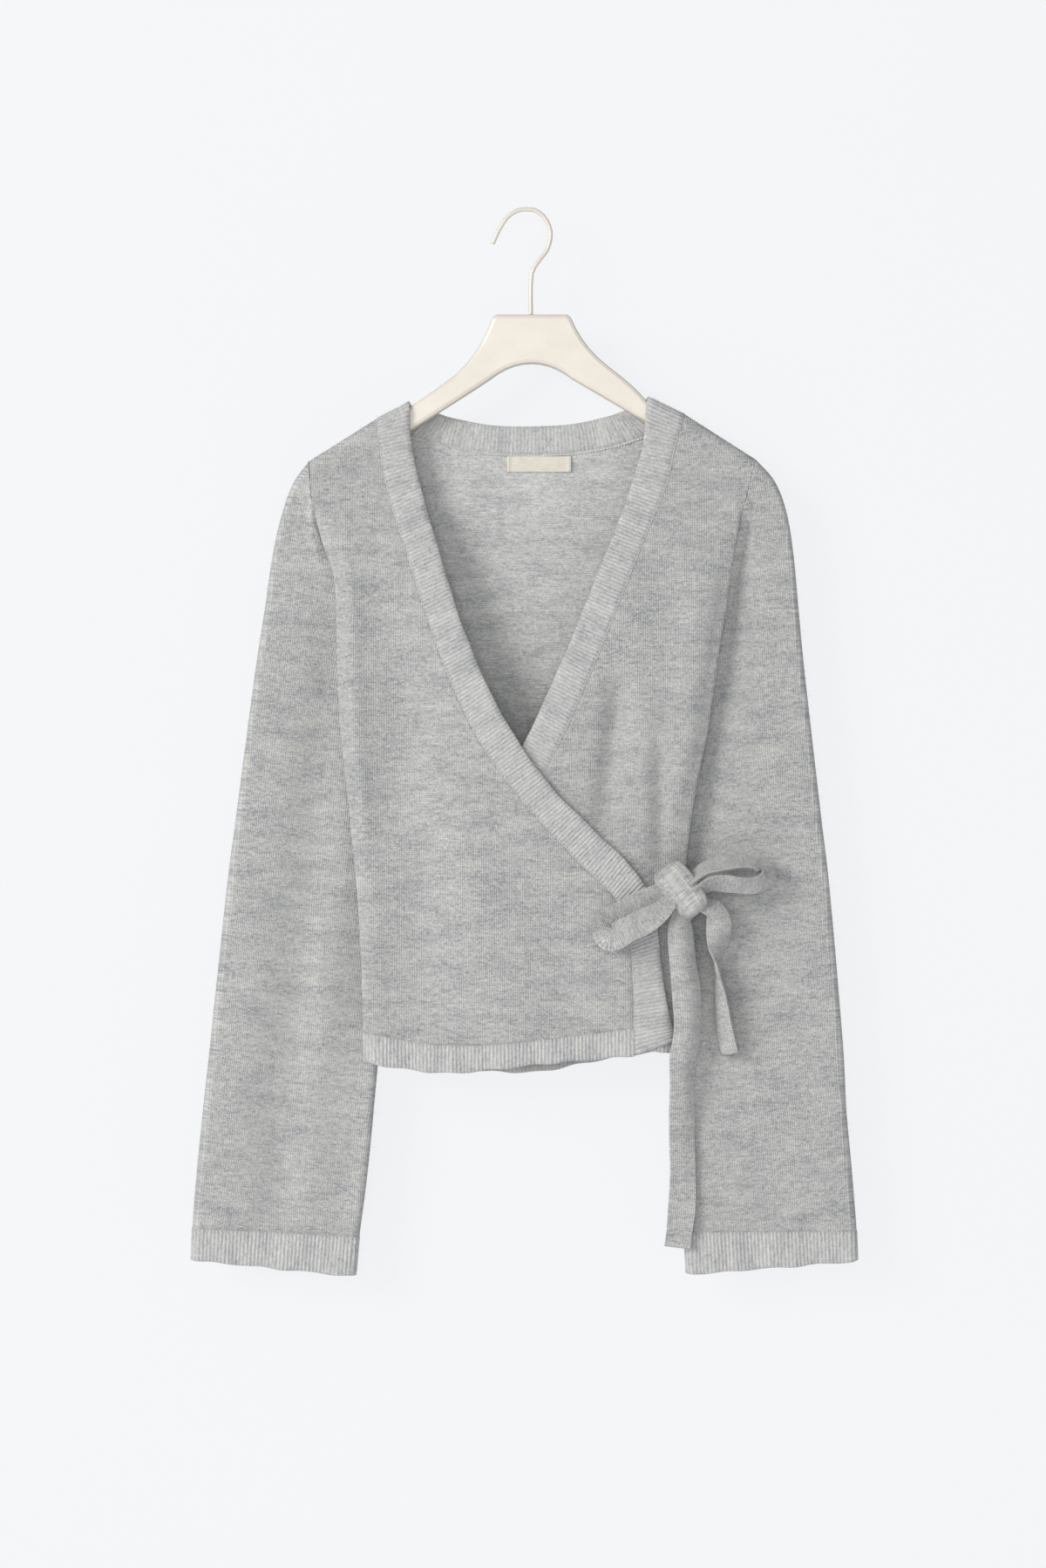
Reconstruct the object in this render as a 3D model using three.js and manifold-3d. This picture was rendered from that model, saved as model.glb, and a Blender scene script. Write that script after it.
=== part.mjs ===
// A fine-knit wrap cardigan, tied at the side with a bow, on a flat painted hanger.
// Millimetres, +Z up. The front faces -Y, and +X is to the viewer's right.
// Origin: the underside of the hook's crown, where the hook rests on its rail.

import * as THREE from 'three';
import Module from 'manifold-3d';

const wasm = await Module();
wasm.setup();

// Driving dimensions of the cloth
const WALL = 2.4; // knit of the panels and sleeves
const RIB_WALL = 2.4; // ribbed bands, hems and cuffs, between their ribs
const RIB_RISE = 0.6; // how far a rib stands out
const RIB_PITCH = 3.3; // one knit and one purl column
const SEAM_GAP = 0.3; // between two pieces at a seam
const STACK_GAP = 0.4; // between two layers that lie on each other
const ARM_ROUND = 8.2; // how the cloth turns over the hanger's arms
const SETTLE = 16; // below the shoulder line, where the body's own bulge has begun
const WRAP = { lift: 4.8, before: 62, ramp: 40, below: -340, fade: 60 }; // the top front over the one underneath
const FOLD_IN = 1.5; // from the outer edge of a side fold to the middle of its wall
const FOLD_ROUND = 2.2; // radius of a side fold
const FOLD_BENT = 6.9; // length of cloth that bends in a side fold
const FOLD_FLAT = 8; // width of the same stretch where the side lies flat
const FLAT_EDGE = 2; // from there to the flat side's edge
const FOLD_TIGHT = 2.5; // cloth taken up in a half-turned fold
const FOLD_TOP = -231; // where the sides begin to fold in, and where they are fully folded
const FOLD_FULL = -262;
const SEAM_DEPTH = -1; // how far forward the side seams lie
const SEAM_TOP = { panel: -326, sleeve: -322, fade: 14 }; // where the armhole comes round to the side seam's depth
const LEVEL_OUT = 180; // drop over which the rows lose the shoulders' slope
const SAG_TOP = -520; // from here down the rows take on the hem's line
const SIDE_END = -641.2; // where the panels' sides end
const ARMHOLE = { flat: 0.35, folded: 3.5, behind: 3, early: 1.6, drop: 3 }; // the sleeve's first ring off the panels
const TROUGH = { past: 0.25, fade: 0.4, sleeveFade: 80 }; // how a fold's ends die out
const LEAN_LIMIT = 0.72; // the sharpest bend at which a wall still keeps its thickness
const TIE_THICK = 3;
const LABEL = { x: 9.9, z: -197, width: 50, height: 12, thick: 1 };

// The hanger: its middle, its plate's top, how far it lies below the cloth's middle, and its arms' round ends
const HANGER = {
  middle: 4, thick: 11, bevel: 3, plateTop: -81.1, plateHalf: 27.8, cornerHalf: 30.8, cornerZ: -83.6, below: 3.5,
  tip: 8, reach: 147, endSlope: 27, underFrom: 92, underZ: -166.4,
};
const WIRE = 3.4;

// Colours
const KNIT = { color: 0xb9bbb8, roughness: 0.95, metalness: 0 };
const RIB = { color: 0xb4b6b4, roughness: 0.95, metalness: 0 };
const PAINT = { color: 0xebe3d8, roughness: 0.5, metalness: 0 };
const WOVEN = { color: 0xe6dfcf, roughness: 0.8, metalness: 0 };

// A table with named columns
function table(names, rows) {
  const keys = names.split(' ');
  return rows.map((row) => Object.fromEntries(keys.map((key, i) => [key, row[i]])));
}

// The body at each height: its two side folds as seen from the front, how far forward the front lies at the folds
// and bulges between them, the same for the back, and how deep each side is folded in.
const BODY = table('z left right edge crown backEdge backCrown leftTuck rightTuck', [
  [-195, -169.3, 178.6, 8.2, 0, 8.2, 3.0, 0, 0],
  [-231, -167.0, 170.6, 9.6, 1, 9.8, 3.4, 0, 0],
  [-246, -164.2, 167.2, 11.6, 2, 12.8, 3.6, 0, 0],
  [-262, -159.0, 163.8, 13.6, 3, 15.0, 3.7, 14, 14],
  [-285, -151.0, 159.8, 14.4, 5, 16.0, 3.8, 31, 30],
  [-308, -149.2, 156.9, 14.4, 6, 16.0, 3.8, 48, 46],
  [-340, -148.4, 151.2, 14.4, 7, 16.0, 3.6, 66, 63],
  [-372, -147.5, 146.9, 14.4, 8, 16.0, 3.4, 65, 57],
  [-409, -145.2, 141.4, 14.4, 8, 16.0, 3.2, 60, 50],
  [-444, -141.4, 134.0, 14.4, 8, 16.0, 3.2, 53, 39],
  [-490, -136.7, 127.2, 14.4, 8, 16.0, 3.0, 44, 28],
  [-530, -132.6, 124.0, 14.4, 7, 16.0, 3.0, 37, 22],
  [-585, -129.2, 124.8, 14.4, 5, 16.0, 2.6, 29, 18],
  [-641, -127.8, 124.6, 14.4, 3, 16.0, 2.2, 22, 14],
  [-665, -128.5, 123.4, 14.4, 2, 16.0, 2.0, 19, 11],
]);

// The line over which the cloth hangs: the shoulder seams, and between them a peak that no cloth reaches
const SHOULDER = table('x z', [
  [-172, -198.0],
  [-170, -196.8],
  [-116.3, -163.1],
  [-91.8, -150.2],
  [0, -60],
  [94.9, -146.0],
  [123.6, -160.1],
  [178.6, -195.1],
  [181, -196.6],
]);
const SHOULDER_POINT = { left: SHOULDER[1], right: SHOULDER[SHOULDER.length - 2] };
const MIDWAY = { left: -138, right: 150 }; // along each shoulder seam

// The ribbed band of the top front, keyed by the height of its seam: its seam and its free edge
const BAND_OUTER = table('z seamX freeX freeZ', [
  [-163.1, -116.3, -91.8, -150.2],
  [-182, -115.3, -91.2, -177],
  [-225, -107.0, -83.5, -215],
  [-274, -91.5, -69.5, -264],
  [-341.4, -69.4, -48.2, -331],
  [-407.9, -40.1, -19.7, -394],
  [-461, -2.7, 15.8, -447],
  [-508, 40.5, 58.0, -490],
  [-531.8, 65.3, 81.0, -512.5],
  [-548, 75.2, 93.5, -531],
  [-562, 79.4, 99.8, -549],
  [-585, 82.0, 103.6, -580],
  [-612, 83.0, 107.0, -608],
  [-637.8, 83.6, 112.0, -633],
  [-658.5, 83.8, 116.2, -647.5],
]);

// The same for the front underneath, whose lower stretch is hidden
const BAND_INNER = table('z seamX freeX freeZ', [
  [-160.1, 123.6, 94.9, -146.0],
  [-187.5, 115.4, 91.6, -182.4],
  [-212.8, 109.9, 85.4, -205.2],
  [-238.5, 99.5, 77.6, -230],
  [-299.9, 74.8, 53.4, -291],
  [-365.2, 48.3, 27.2, -354.5],
  [-438.6, 12.9, -7.6, -426.4],
  [-489.6, -30.0, -47.4, -473],
  [-516.8, -54.0, -71.5, -499],
  [-542, -68.2, -89.0, -528],
  [-562, -71.4, -95.0, -553],
  [-585, -72.8, -97.4, -581],
  [-637.8, -74.0, -99.0, -636],
  [-656, -74.0, -99.0, -655],
]);

// The back neck band from the left shoulder to the right one: its seam to the back, and its free edge
const NECK = table('seamX seamZ freeX freeZ', [
  [-116.3, -163.1, -91.8, -150.2],
  [-114.8, -164.8, -90.4, -152.2],
  [-111.5, -167.6, -87.6, -154.6],
  [-105.0, -170.2, -82.5, -156.0],
  [-93.0, -174.0, -73.0, -156.6],
  [-62.0, -181.8, -56.5, -161.6],
  [-22.0, -188.4, -20.5, -167.5],
  [30.0, -188.2, 28.5, -166.8],
  [68.0, -182.4, 61.0, -160.8],
  [98.0, -173.0, 79.0, -154.8],
  [110.0, -169.4, 86.0, -152.4],
  [118.3, -166.2, 91.3, -150.0],
  [121.8, -162.9, 93.6, -148.2],
  [123.6, -160.1, 94.9, -146.0],
]);

// Where each hem's rib begins and where it ends, across the body
const HEM_OUTER = table('x top bottom', [
  [-129, -641.2, -664.0],
  [-107, -645.0, -667.2],
  [-80, -650.0, -671.0],
  [-55, -651.2, -672.0],
  [-25, -650.4, -669.2],
  [12, -646.8, -665.2],
  [57, -641.4, -661.3],
  [84, -637.8, -658.5],
]);
const HEM_INNER = table('x top bottom', [
  [-74, -637.8, -656.0],
  [20, -637.0, -656.0],
  [124, -635.0, -656.2],
]);
const HEM_BACK = table('x top bottom', [
  [-129, -643.0, -664.0],
  [-60, -650.0, -671.0],
  [-16, -653.0, -674.5],
  [14, -652.0, -673.5],
  [60, -643.5, -664.5],
  [105, -637.0, -657.8],
  [124, -635.0, -656.2],
]);

// The main folds of the fronts: soft troughs (below 0) and ridges between two points
const FOLDS = table('x1 z1 x2 z2 width height', [
  [-125, -262, -119, -420, 15, -1.6],
  [-119, -420, -104, -630, 14, -2.6],
  [-84, -560, -80, -640, 16, 1.2],
  [72, -402, 62, -480, 11, -3.4],
  [99, -454, 103, -512, 7, -2.6],
  [80, -452, 92, -508, 7, 1.6],
  [113, -440, 112, -500, 7, 1.6],
  [38, -641, 78, -630, 9, -1.4],
]);

// The sleeves from armhole to cuff: their outer and inner edge as seen from the front
const SLEEVE_LEFT = table('outerX outerZ innerX innerZ', [
  [-170.0, -196.8, -85.5, -337],
  [-182.0, -213.5, -86.5, -352],
  [-190.5, -237, -88.5, -371],
  [-197.5, -268, -91.0, -397],
  [-204.5, -316, -95.0, -433],
  [-211.5, -362, -99.0, -474],
  [-226.2, -473, -107.5, -560],
  [-233.6, -530, -111.8, -606],
  [-246.2, -648, -119.8, -692],
  [-252.2, -703, -123.4, -731],
  [-257.0, -751, -127.4, -767],
  [-260.6, -795.3, -132.0, -802.1],
]);
const SLEEVE_RIGHT = table('outerX outerZ innerX innerZ', [
  [178.6, -195.1, 92.5, -337],
  [193.0, -211.5, 93.0, -352],
  [202.0, -234, 94.5, -371],
  [207.6, -266, 96.6, -397],
  [212.0, -312, 99.6, -433],
  [216.6, -360, 103.0, -474],
  [229.4, -472, 110.3, -560],
  [236.2, -530, 114.2, -606],
  [246.4, -648, 120.4, -692],
  [249.4, -703, 122.0, -731],
  [253.8, -752, 123.4, -767],
  [257.4, -797.6, 124.4, -798.2],
]);
const CUFF_LEFT = { outerX: -261.6, outerZ: -819.5, innerX: -134.6, innerZ: -832.5 };
const CUFF_RIGHT = { outerX: 258.2, outerZ: -820.5, innerX: 126.2, innerZ: -831 };
const SLEEVE_SHAPE = table('middle outerHalf innerHalf keep keepDepth', [
  [0, 8.2, 5.5, 1, 1],
  [-0.5, 6.6, 5.4, 0.85, 0.1],
  [-0.8, 6.2, 5.4, 0.5, 0],
  [-1, 6.0, 5.5, 0.22, 0],
  [-1, 6.0, 5.5, 0.04, 0],
  [-1, 6.0, 5.5, 0, 0],
]);
// Broad troughs down the sleeves, as the part of the width from the outer edge, and the height that they run over
const SLEEVE_FOLDS = table('side across from to width depth', [
  [-1, 0.36, -380, -650, 0.1, -2.2],
  [-1, 0.66, -560, -790, 0.08, -1.2],
  [1, 0.16, -300, -420, 0.07, -1.8],
  [1, 0.45, -420, -600, 0.1, -1.5],
  [1, 0.3, -620, -790, 0.09, -1.6],
]);

// Heights of the panels' rows at their sides. The first five turn over the hanger's arm, and the side seam begins
// at the last armhole row.
const TURN = [0, 22.5, 45, 67.5, 90].map(THREE.MathUtils.degToRad);
const ARMHOLE_ROWS = [-216, -231, -246, -262, -285, -308, -330, -340];
const SIDE_ROWS = [-370, -405, -440, -475, -505, -530, -548, -565, -600, SIDE_END];
const UNDERARM = TURN.length + ARMHOLE_ROWS.length - 1;
const LAST_ROW = UNDERARM + SIDE_ROWS.length;
const HIDDEN_HEM = 6; // from this column on, the hem of the front underneath is hidden and plain
const HIDDEN_BAND = 18; // from this row on, so is its band

// The value of a column at a place of its key column, smooth between rows and level past the ends
function at(rows, key, name, place, sharp = false) {
  const falling = rows[rows.length - 1][key] < rows[0][key];
  const order = falling ? -1 : 1;
  if ((place - rows[0][key]) * order <= 0) return rows[0][name];
  let i = rows.findIndex((row) => (place - row[key]) * order < 0) - 1;
  if (i < 0) return rows[rows.length - 1][name];
  const slope = (a, b) => (rows[b][name] - rows[a][name]) / (rows[b][key] - rows[a][key]);
  const span = rows[i + 1][key] - rows[i][key];
  const t = (place - rows[i][key]) / span;
  if (sharp) return rows[i][name] + t * (rows[i + 1][name] - rows[i][name]);
  const first = slope(Math.max(i - 1, 0), i + 1) * span;
  const last = slope(i, Math.min(i + 2, rows.length - 1)) * span;
  const a = rows[i][name];
  const b = rows[i + 1][name];
  return a + t * (first + t * (3 * (b - a) - 2 * first - last + t * (2 * (a - b) + first + last)));
}

function smooth(value) {
  const t = THREE.MathUtils.clamp(value, 0, 1);
  return t * t * (3 - 2 * t);
}

const lerp = THREE.MathUtils.lerp;
const place = (x, forward, z) => new THREE.Vector3(x, -forward, z);

// How far below the hanging line a point of the cloth is
function drop(x, z) {
  return Math.max(at(SHOULDER, 'x', 'z', x, true) - z, 0);
}

// How far the cloth has turned away from the hanging line's plane
function overArm(down) {
  const k = 1 - Math.min(down / ARM_ROUND, 1);
  return ARM_ROUND * Math.sqrt(1 - k * k);
}

// A point's place between the side folds, from -1 to 1
function across(x, z) {
  const left = at(BODY, 'z', 'left', z);
  const right = at(BODY, 'z', 'right', z);
  return THREE.MathUtils.clamp((2 * x - left - right) / (right - left), -1, 1);
}

// The height that the folds add at a point of the front
function folds(x, z) {
  let sum = 0;
  for (const f of FOLDS) {
    const dx = f.x2 - f.x1;
    const dz = f.z2 - f.z1;
    const along = ((x - f.x1) * dx + (z - f.z1) * dz) / (dx * dx + dz * dz);
    const off = Math.hypot(x - f.x1 - along * dx, z - f.z1 - along * dz);
    const ends = smooth((along + TROUGH.past) / TROUGH.fade) * smooth((1 + TROUGH.past - along) / TROUGH.fade);
    sum += f.height * ends * Math.exp(-((off / f.width) ** 2));
  }
  return sum;
}

// How far forward the front underneath lies
function innerDepth(x, z) {
  const bulge = at(BODY, 'z', 'crown', z) * (1 - across(x, z) ** 2) + folds(x, z);
  const down = drop(x, z);
  return overArm(down) + smooth(down / SETTLE) * (at(BODY, 'z', 'edge', z) - ARM_ROUND + bulge);
}

// The top front rises where it comes over the front underneath
function outerDepth(x, z) {
  const edge = at(BAND_INNER, 'freeZ', 'freeX', z);
  const over = smooth((x - edge + WRAP.before) / WRAP.ramp) * smooth((WRAP.below - z) / WRAP.fade);
  return innerDepth(x, z) + WRAP.lift * over;
}

// How far back the back lies, as a forward distance
function backDepth(x, z) {
  const bulge = at(BODY, 'z', 'backCrown', z) * (1 - across(x, z) ** 2);
  const down = drop(x, z);
  return -overArm(down) - smooth(down / SETTLE) * (at(BODY, 'z', 'backEdge', z) - ARM_ROUND + bulge);
}

// Height of a row at the side, whose shoulder point is at top
function sideHeight(row, top) {
  if (row < TURN.length) return top - ARM_ROUND * (1 - Math.cos(TURN[row]));
  if (row <= UNDERARM) return ARMHOLE_ROWS[row - TURN.length];
  return SIDE_ROWS[row - UNDERARM - 1];
}

// Height of the same row at a place whose top is higher than the shoulder point
function seamHeight(side, top, seamTop) {
  return side + (seamTop - top) * (1 - smooth((top - side) / LEVEL_OUT));
}

// How far the rows have taken on the hem's line, from 0 to 1
const sagAt = (side) => smooth((SAG_TOP - side) / (SAG_TOP - SIDE_END));

// How far a side is folded in at a height, from 0 to 1
const foldedAt = (z) => THREE.MathUtils.clamp((FOLD_TOP - z) / (FOLD_TOP - FOLD_FULL), 0, 1);

// How much higher than at the shoulder point a row's cloth lies, as long as its side is flat
function shoulderRise(x, z, top) {
  const slope = at(SHOULDER, 'x', 'z', x, true) - top;
  return slope * (1 - smooth((top - z) / LEVEL_OUT)) * (1 - foldedAt(z));
}

// A panel's side at one height, from its edge to the front of its fold: flat along the armhole's upper half, and
// turned in below it, where its edge is the armhole or the side seam. inward is 1 on the left and -1 on the right.
function foldedSide(inward, z, depth) {
  const name = inward > 0 ? 'left' : 'right';
  const edge = at(BODY, 'z', name, z);
  const tuck = at(BODY, 'z', name + 'Tuck', z, true);
  const folded = foldedAt(z);
  const seamed = smooth((SEAM_TOP.panel - z) / SEAM_TOP.fade);
  const turn = Math.PI * Math.max(folded, 1e-4);
  const bent = lerp(FOLD_FLAT, FOLD_BENT, folded) - FOLD_TIGHT * Math.sin(turn);
  const radius = bent / turn;
  const tail = FLAT_EDGE * (1 - folded) + folded ** 3 * (tuck - FOLD_IN - FOLD_ROUND);
  const start = FOLD_IN * Math.min(2 * folded, 1) + radius * Math.sin(Math.min(turn, Math.PI / 2))
    + tail * Math.max(Math.cos(turn), 0);
  const out = depth(edge + inward * start, z);
  const facing = Math.sign(out);
  const bend = (angle, straight) => ({
    a: start - radius * Math.sin(angle) - straight * Math.cos(turn),
    forward: out - facing * (radius * (1 - Math.cos(angle)) + straight * Math.sin(turn)),
  });
  const beside = bend(turn, tail * lerp(0.6, 1, seamed));
  const spots = [bend(turn, tail), beside, bend(turn, 0), bend(turn / 2, 0), bend(0, 0)];
  spots[0].forward = lerp(spots[0].forward, SEAM_DEPTH + facing * (SEAM_GAP / 2), seamed);
  const points = spots.map((p) => place(edge + inward * p.a, p.forward, z));
  for (const p of points) {
    p.z += shoulderRise(p.x, z, SHOULDER_POINT[name].z);
    if (folded === 0) p.y = -depth(p.x, p.z);
  }
  return points;
}

function setHeights(points, z) {
  for (const p of points) p.setZ(z);
}

// Parts of a front panel's width at which it has a column, from its side fold to its band
const FRONT_COLUMNS = [0.09, 0.2, 0.31, 0.42, 0.53, 0.64, 0.76, 0.88, 1];

// The middle of a front panel's wall, row by row, each from the side to the band's seam
function frontPanel(inward, top, band, depth, hem) {
  const rows = [];
  for (let row = 0; row <= LAST_ROW; row += 1) {
    const side = sideHeight(row, top);
    const points = foldedSide(inward, side, depth);
    const start = points[points.length - 1].clone();
    const seamZ = row === LAST_ROW ? band.bottom : seamHeight(side, top, band.rows[0].z);
    const seamX = at(band.rows, 'z', 'seamX', seamZ) - inward * (SEAM_GAP / 2);
    if (row === LAST_ROW) setHeights(points, at(hem, 'x', 'top', start.x));
    for (const part of FRONT_COLUMNS) {
      const x = lerp(start.x, seamX, part);
      const level = lerp(SIDE_END, band.bottom, part);
      const z = lerp(start.z, seamZ, part) + sagAt(side) * (at(hem, 'x', 'top', x) - level);
      points.push(place(x, depth(x, z), z));
    }
    rows.push(points);
  }
  return rows;
}

// The places along the shoulder line from which the back's columns hang: each shoulder's middle and the neck's points
function backTops() {
  const onShoulder = (x) => ({ x, z: at(SHOULDER, 'x', 'z', x, true) });
  const neck = NECK.map((row) => ({ x: row.seamX, z: row.seamZ }));
  return [onShoulder(MIDWAY.left), ...neck, onShoulder(MIDWAY.right)];
}

// The back from its left side to its right side
function backPanel() {
  const rows = [];
  const first = SHOULDER_POINT.left.x + FOLD_FLAT + FLAT_EDGE;
  const last = SHOULDER_POINT.right.x - FOLD_FLAT - FLAT_EDGE;
  for (let row = 0; row <= LAST_ROW; row += 1) {
    const leftZ = sideHeight(row, SHOULDER_POINT.left.z);
    const rightZ = sideHeight(row, SHOULDER_POINT.right.z);
    const left = foldedSide(1, leftZ, backDepth);
    const right = foldedSide(-1, rightZ, backDepth).reverse();
    if (row === LAST_ROW) setHeights(left, HEM_BACK[0].top);
    if (row === LAST_ROW) setHeights(right, HEM_BACK[HEM_BACK.length - 1].top);
    const points = backTops().map((top) => {
      if (row === 0) return place(top.x, backDepth(top.x, top.z), top.z);
      const part = (top.x - first) / (last - first);
      const x = lerp(left[left.length - 1].x, right[0].x, part);
      const shoulder = lerp(SHOULDER_POINT.left.z, SHOULDER_POINT.right.z, part);
      const straight = seamHeight(lerp(leftZ, rightZ, part), shoulder, top.z);
      const z = straight + sagAt(leftZ) * (at(HEM_BACK, 'x', 'top', x) - SIDE_END);
      return place(x, backDepth(x, z), z);
    });
    rows.push([...left, ...points, ...right]);
  }
  return rows;
}

// The normals of a grid of points. Where neighbouring faces meet at an angle the normal is lengthened, so that the
// wall keeps its thickness. around closes each row into a ring, and outward says which side is the outside.
function normalsOf(grid, { around = false, outward = 1, before = null } = {}) {
  const rows = before ? [before, ...grid] : grid;
  const count = grid[0].length;
  const face = (i, j) => {
    const next = around ? (j + 1) % count : j + 1;
    const a = rows[i][j];
    const b = rows[i + 1][next];
    const c = rows[i + 1][j];
    const d = rows[i][next];
    const one = new THREE.Vector3().subVectors(b, a);
    return one.cross(new THREE.Vector3().subVectors(d, c)).normalize();
  };
  const last = around ? count : count - 1;
  const faces = rows.slice(1).map((row, i) => row.map((p, j) => (j < last ? face(i, j) : null)));
  const normals = rows.map((row, i) => row.map((p, j) => {
    const touching = [];
    for (const fi of [i - 1, i]) {
      for (const fj of [j - 1, j]) {
        const column = around ? (fj + count) % count : fj;
        if (faces[fi] && faces[fi][column]) touching.push(faces[fi][column]);
      }
    }
    const sum = touching.reduce((total, n) => total.add(n), new THREE.Vector3()).normalize();
    const lean = touching.reduce((total, n) => total + n.dot(sum), 0) / touching.length;
    return sum.multiplyScalar(outward / Math.max(lean, LEAN_LIMIT));
  }));
  return before ? normals.slice(1) : normals;
}

// A closed solid from points and triangles, turned so that its faces point out
function solid(points, faces) {
  const cone = ([a, b, c]) => points[a].dot(new THREE.Vector3().crossVectors(points[b], points[c]));
  const volume = faces.reduce((sum, face) => sum + cone(face), 0);
  const order = volume < 0 ? faces.map(([a, b, c]) => [a, c, b]) : faces;
  const places = points.flatMap((p) => [p.x, p.y, p.z]);
  const geometry = new THREE.BufferGeometry();
  geometry.setAttribute('position', new THREE.Float32BufferAttribute(places, 3));
  geometry.setIndex(order.flat());
  return geometry;
}

// A wall on both sides of a grid of points, as one closed solid
function wall(grid, normals, thickness, around = false) {
  const height = grid.length;
  const width = grid[0].length;
  const side = (half) => grid.flatMap((row, i) => row.map((p, j) => p.clone().addScaledVector(normals[i][j], half)));
  const points = [...side(thickness / 2), ...side(-thickness / 2)];
  const outer = (i, j) => i * width + (j % width);
  const inner = (i, j) => height * width + outer(i, j);
  const faces = [];
  const quad = (a, b, c, d) => faces.push([a, b, c], [a, c, d]);
  const columns = around ? width : width - 1;
  for (let j = 0; j < columns; j += 1) {
    for (let i = 0; i + 1 < height; i += 1) {
      quad(outer(i, j), outer(i + 1, j), outer(i + 1, j + 1), outer(i, j + 1));
      quad(inner(i, j), inner(i, j + 1), inner(i + 1, j + 1), inner(i + 1, j));
    }
    quad(outer(0, j), outer(0, j + 1), inner(0, j + 1), inner(0, j));
    quad(outer(height - 1, j), inner(height - 1, j), inner(height - 1, j + 1), outer(height - 1, j + 1));
  }
  if (!around) {
    for (let i = 0; i + 1 < height; i += 1) {
      quad(outer(i, 0), inner(i, 0), inner(i + 1, 0), outer(i + 1, 0));
      quad(outer(i, width - 1), outer(i + 1, width - 1), inner(i + 1, width - 1), inner(i, width - 1));
    }
  }
  return solid(points, faces);
}

// A strip of rib between two edges, which have the same number of points. Its inside is plain and has only those
// points. Its outside has a ridge and a groove for each rib, on straight lines between them, as far as plainFrom.
function ribbed(edgeA, edgeB, normals, { around = false, plainFrom = Infinity, normalsB = normals } = {}) {
  const points = [];
  const faces = [];
  const add = (p, n, height) => points.push(p.clone().addScaledVector(n, height)) - 1;
  const station = (i, t, height) => {
    const next = (i + 1) % edgeA.length;
    const on = (edge, facing) => {
      const spot = edge[i].clone().lerp(edge[next], t);
      return add(spot, facing[i].clone().lerp(facing[next], t), height);
    };
    return [on(edgeA, normals), on(edgeB, normalsB)];
  };
  const spans = around ? edgeA.length : edgeA.length - 1;
  const inner = edgeA.map((p, i) => station(i, 0, -RIB_WALL / 2));
  const outer = [];
  const starts = [];
  let count = 0;
  for (let i = 0; i < spans; i += 1) {
    const next = (i + 1) % edgeA.length;
    const length = (edgeA[i].distanceTo(edgeA[next]) + edgeB[i].distanceTo(edgeB[next])) / 2;
    let steps = i < plainFrom ? Math.max(1, Math.round(length / (RIB_PITCH / 2))) : 1;
    if (around && i === spans - 1 && (count + steps) % 2 === 1) steps += 1;
    starts.push(outer.length);
    for (let k = 0; k < steps; k += 1) {
      const rise = i < plainFrom && (count + k) % 2 === 1 ? RIB_RISE : 0;
      outer.push(station(i, k / steps, RIB_WALL / 2 + rise));
    }
    count += steps;
  }
  if (!around) outer.push(station(spans - 1, 1, RIB_WALL / 2));
  starts.push(around ? outer.length : outer.length - 1);
  for (let i = 0; i < spans; i += 1) {
    const a = inner[i];
    const b = inner[(i + 1) % inner.length];
    faces.push([a[0], b[0], b[1]], [a[0], b[1], a[1]]);
    const middle = Math.floor((starts[i] + starts[i + 1]) / 2);
    for (let k = starts[i]; k < starts[i + 1]; k += 1) {
      const c = outer[k];
      const d = outer[(k + 1) % outer.length];
      const near = k < middle ? a : b;
      faces.push([c[0], c[1], d[1]], [c[0], d[1], d[0]], [near[0], c[0], d[0]], [near[1], d[1], c[1]]);
    }
    const turn = outer[middle % outer.length];
    faces.push([a[0], turn[0], b[0]], [a[1], b[1], turn[1]]);
  }
  if (!around) {
    const [first, last] = [outer[0], outer[outer.length - 1]];
    const [a, b] = [inner[0], inner[inner.length - 1]];
    faces.push([first[0], a[0], a[1]], [first[0], a[1], first[1]]);
    faces.push([last[0], last[1], b[1]], [last[0], b[1], b[0]]);
  }
  return solid(points, faces);
}

// Points a gap away from others, towards next
function below(points, next, gap) {
  return points.map((p, j) => p.clone().add(next[j].clone().sub(p).setLength(gap)));
}

// A front band: one edge on the panel's seam points, the other on the table's free edge
function frontBand(rows, panel, depth, bottom) {
  const freeEnd = (z) => {
    const x = at(rows, 'z', 'freeX', z);
    const height = at(rows, 'z', 'freeZ', z);
    return place(x, depth(x, height), height);
  };
  const edge = panel.map((points) => points[points.length - 1]);
  const free = edge.map((p) => freeEnd(p.z));
  const seam = below(edge, free, SEAM_GAP);
  const last = seam[seam.length - 1];
  free[0].y -= SEAM_GAP / 2;
  seam.push(place(last.x, depth(last.x, bottom), bottom));
  free.push(freeEnd(bottom));
  return { seam, free };
}

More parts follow.
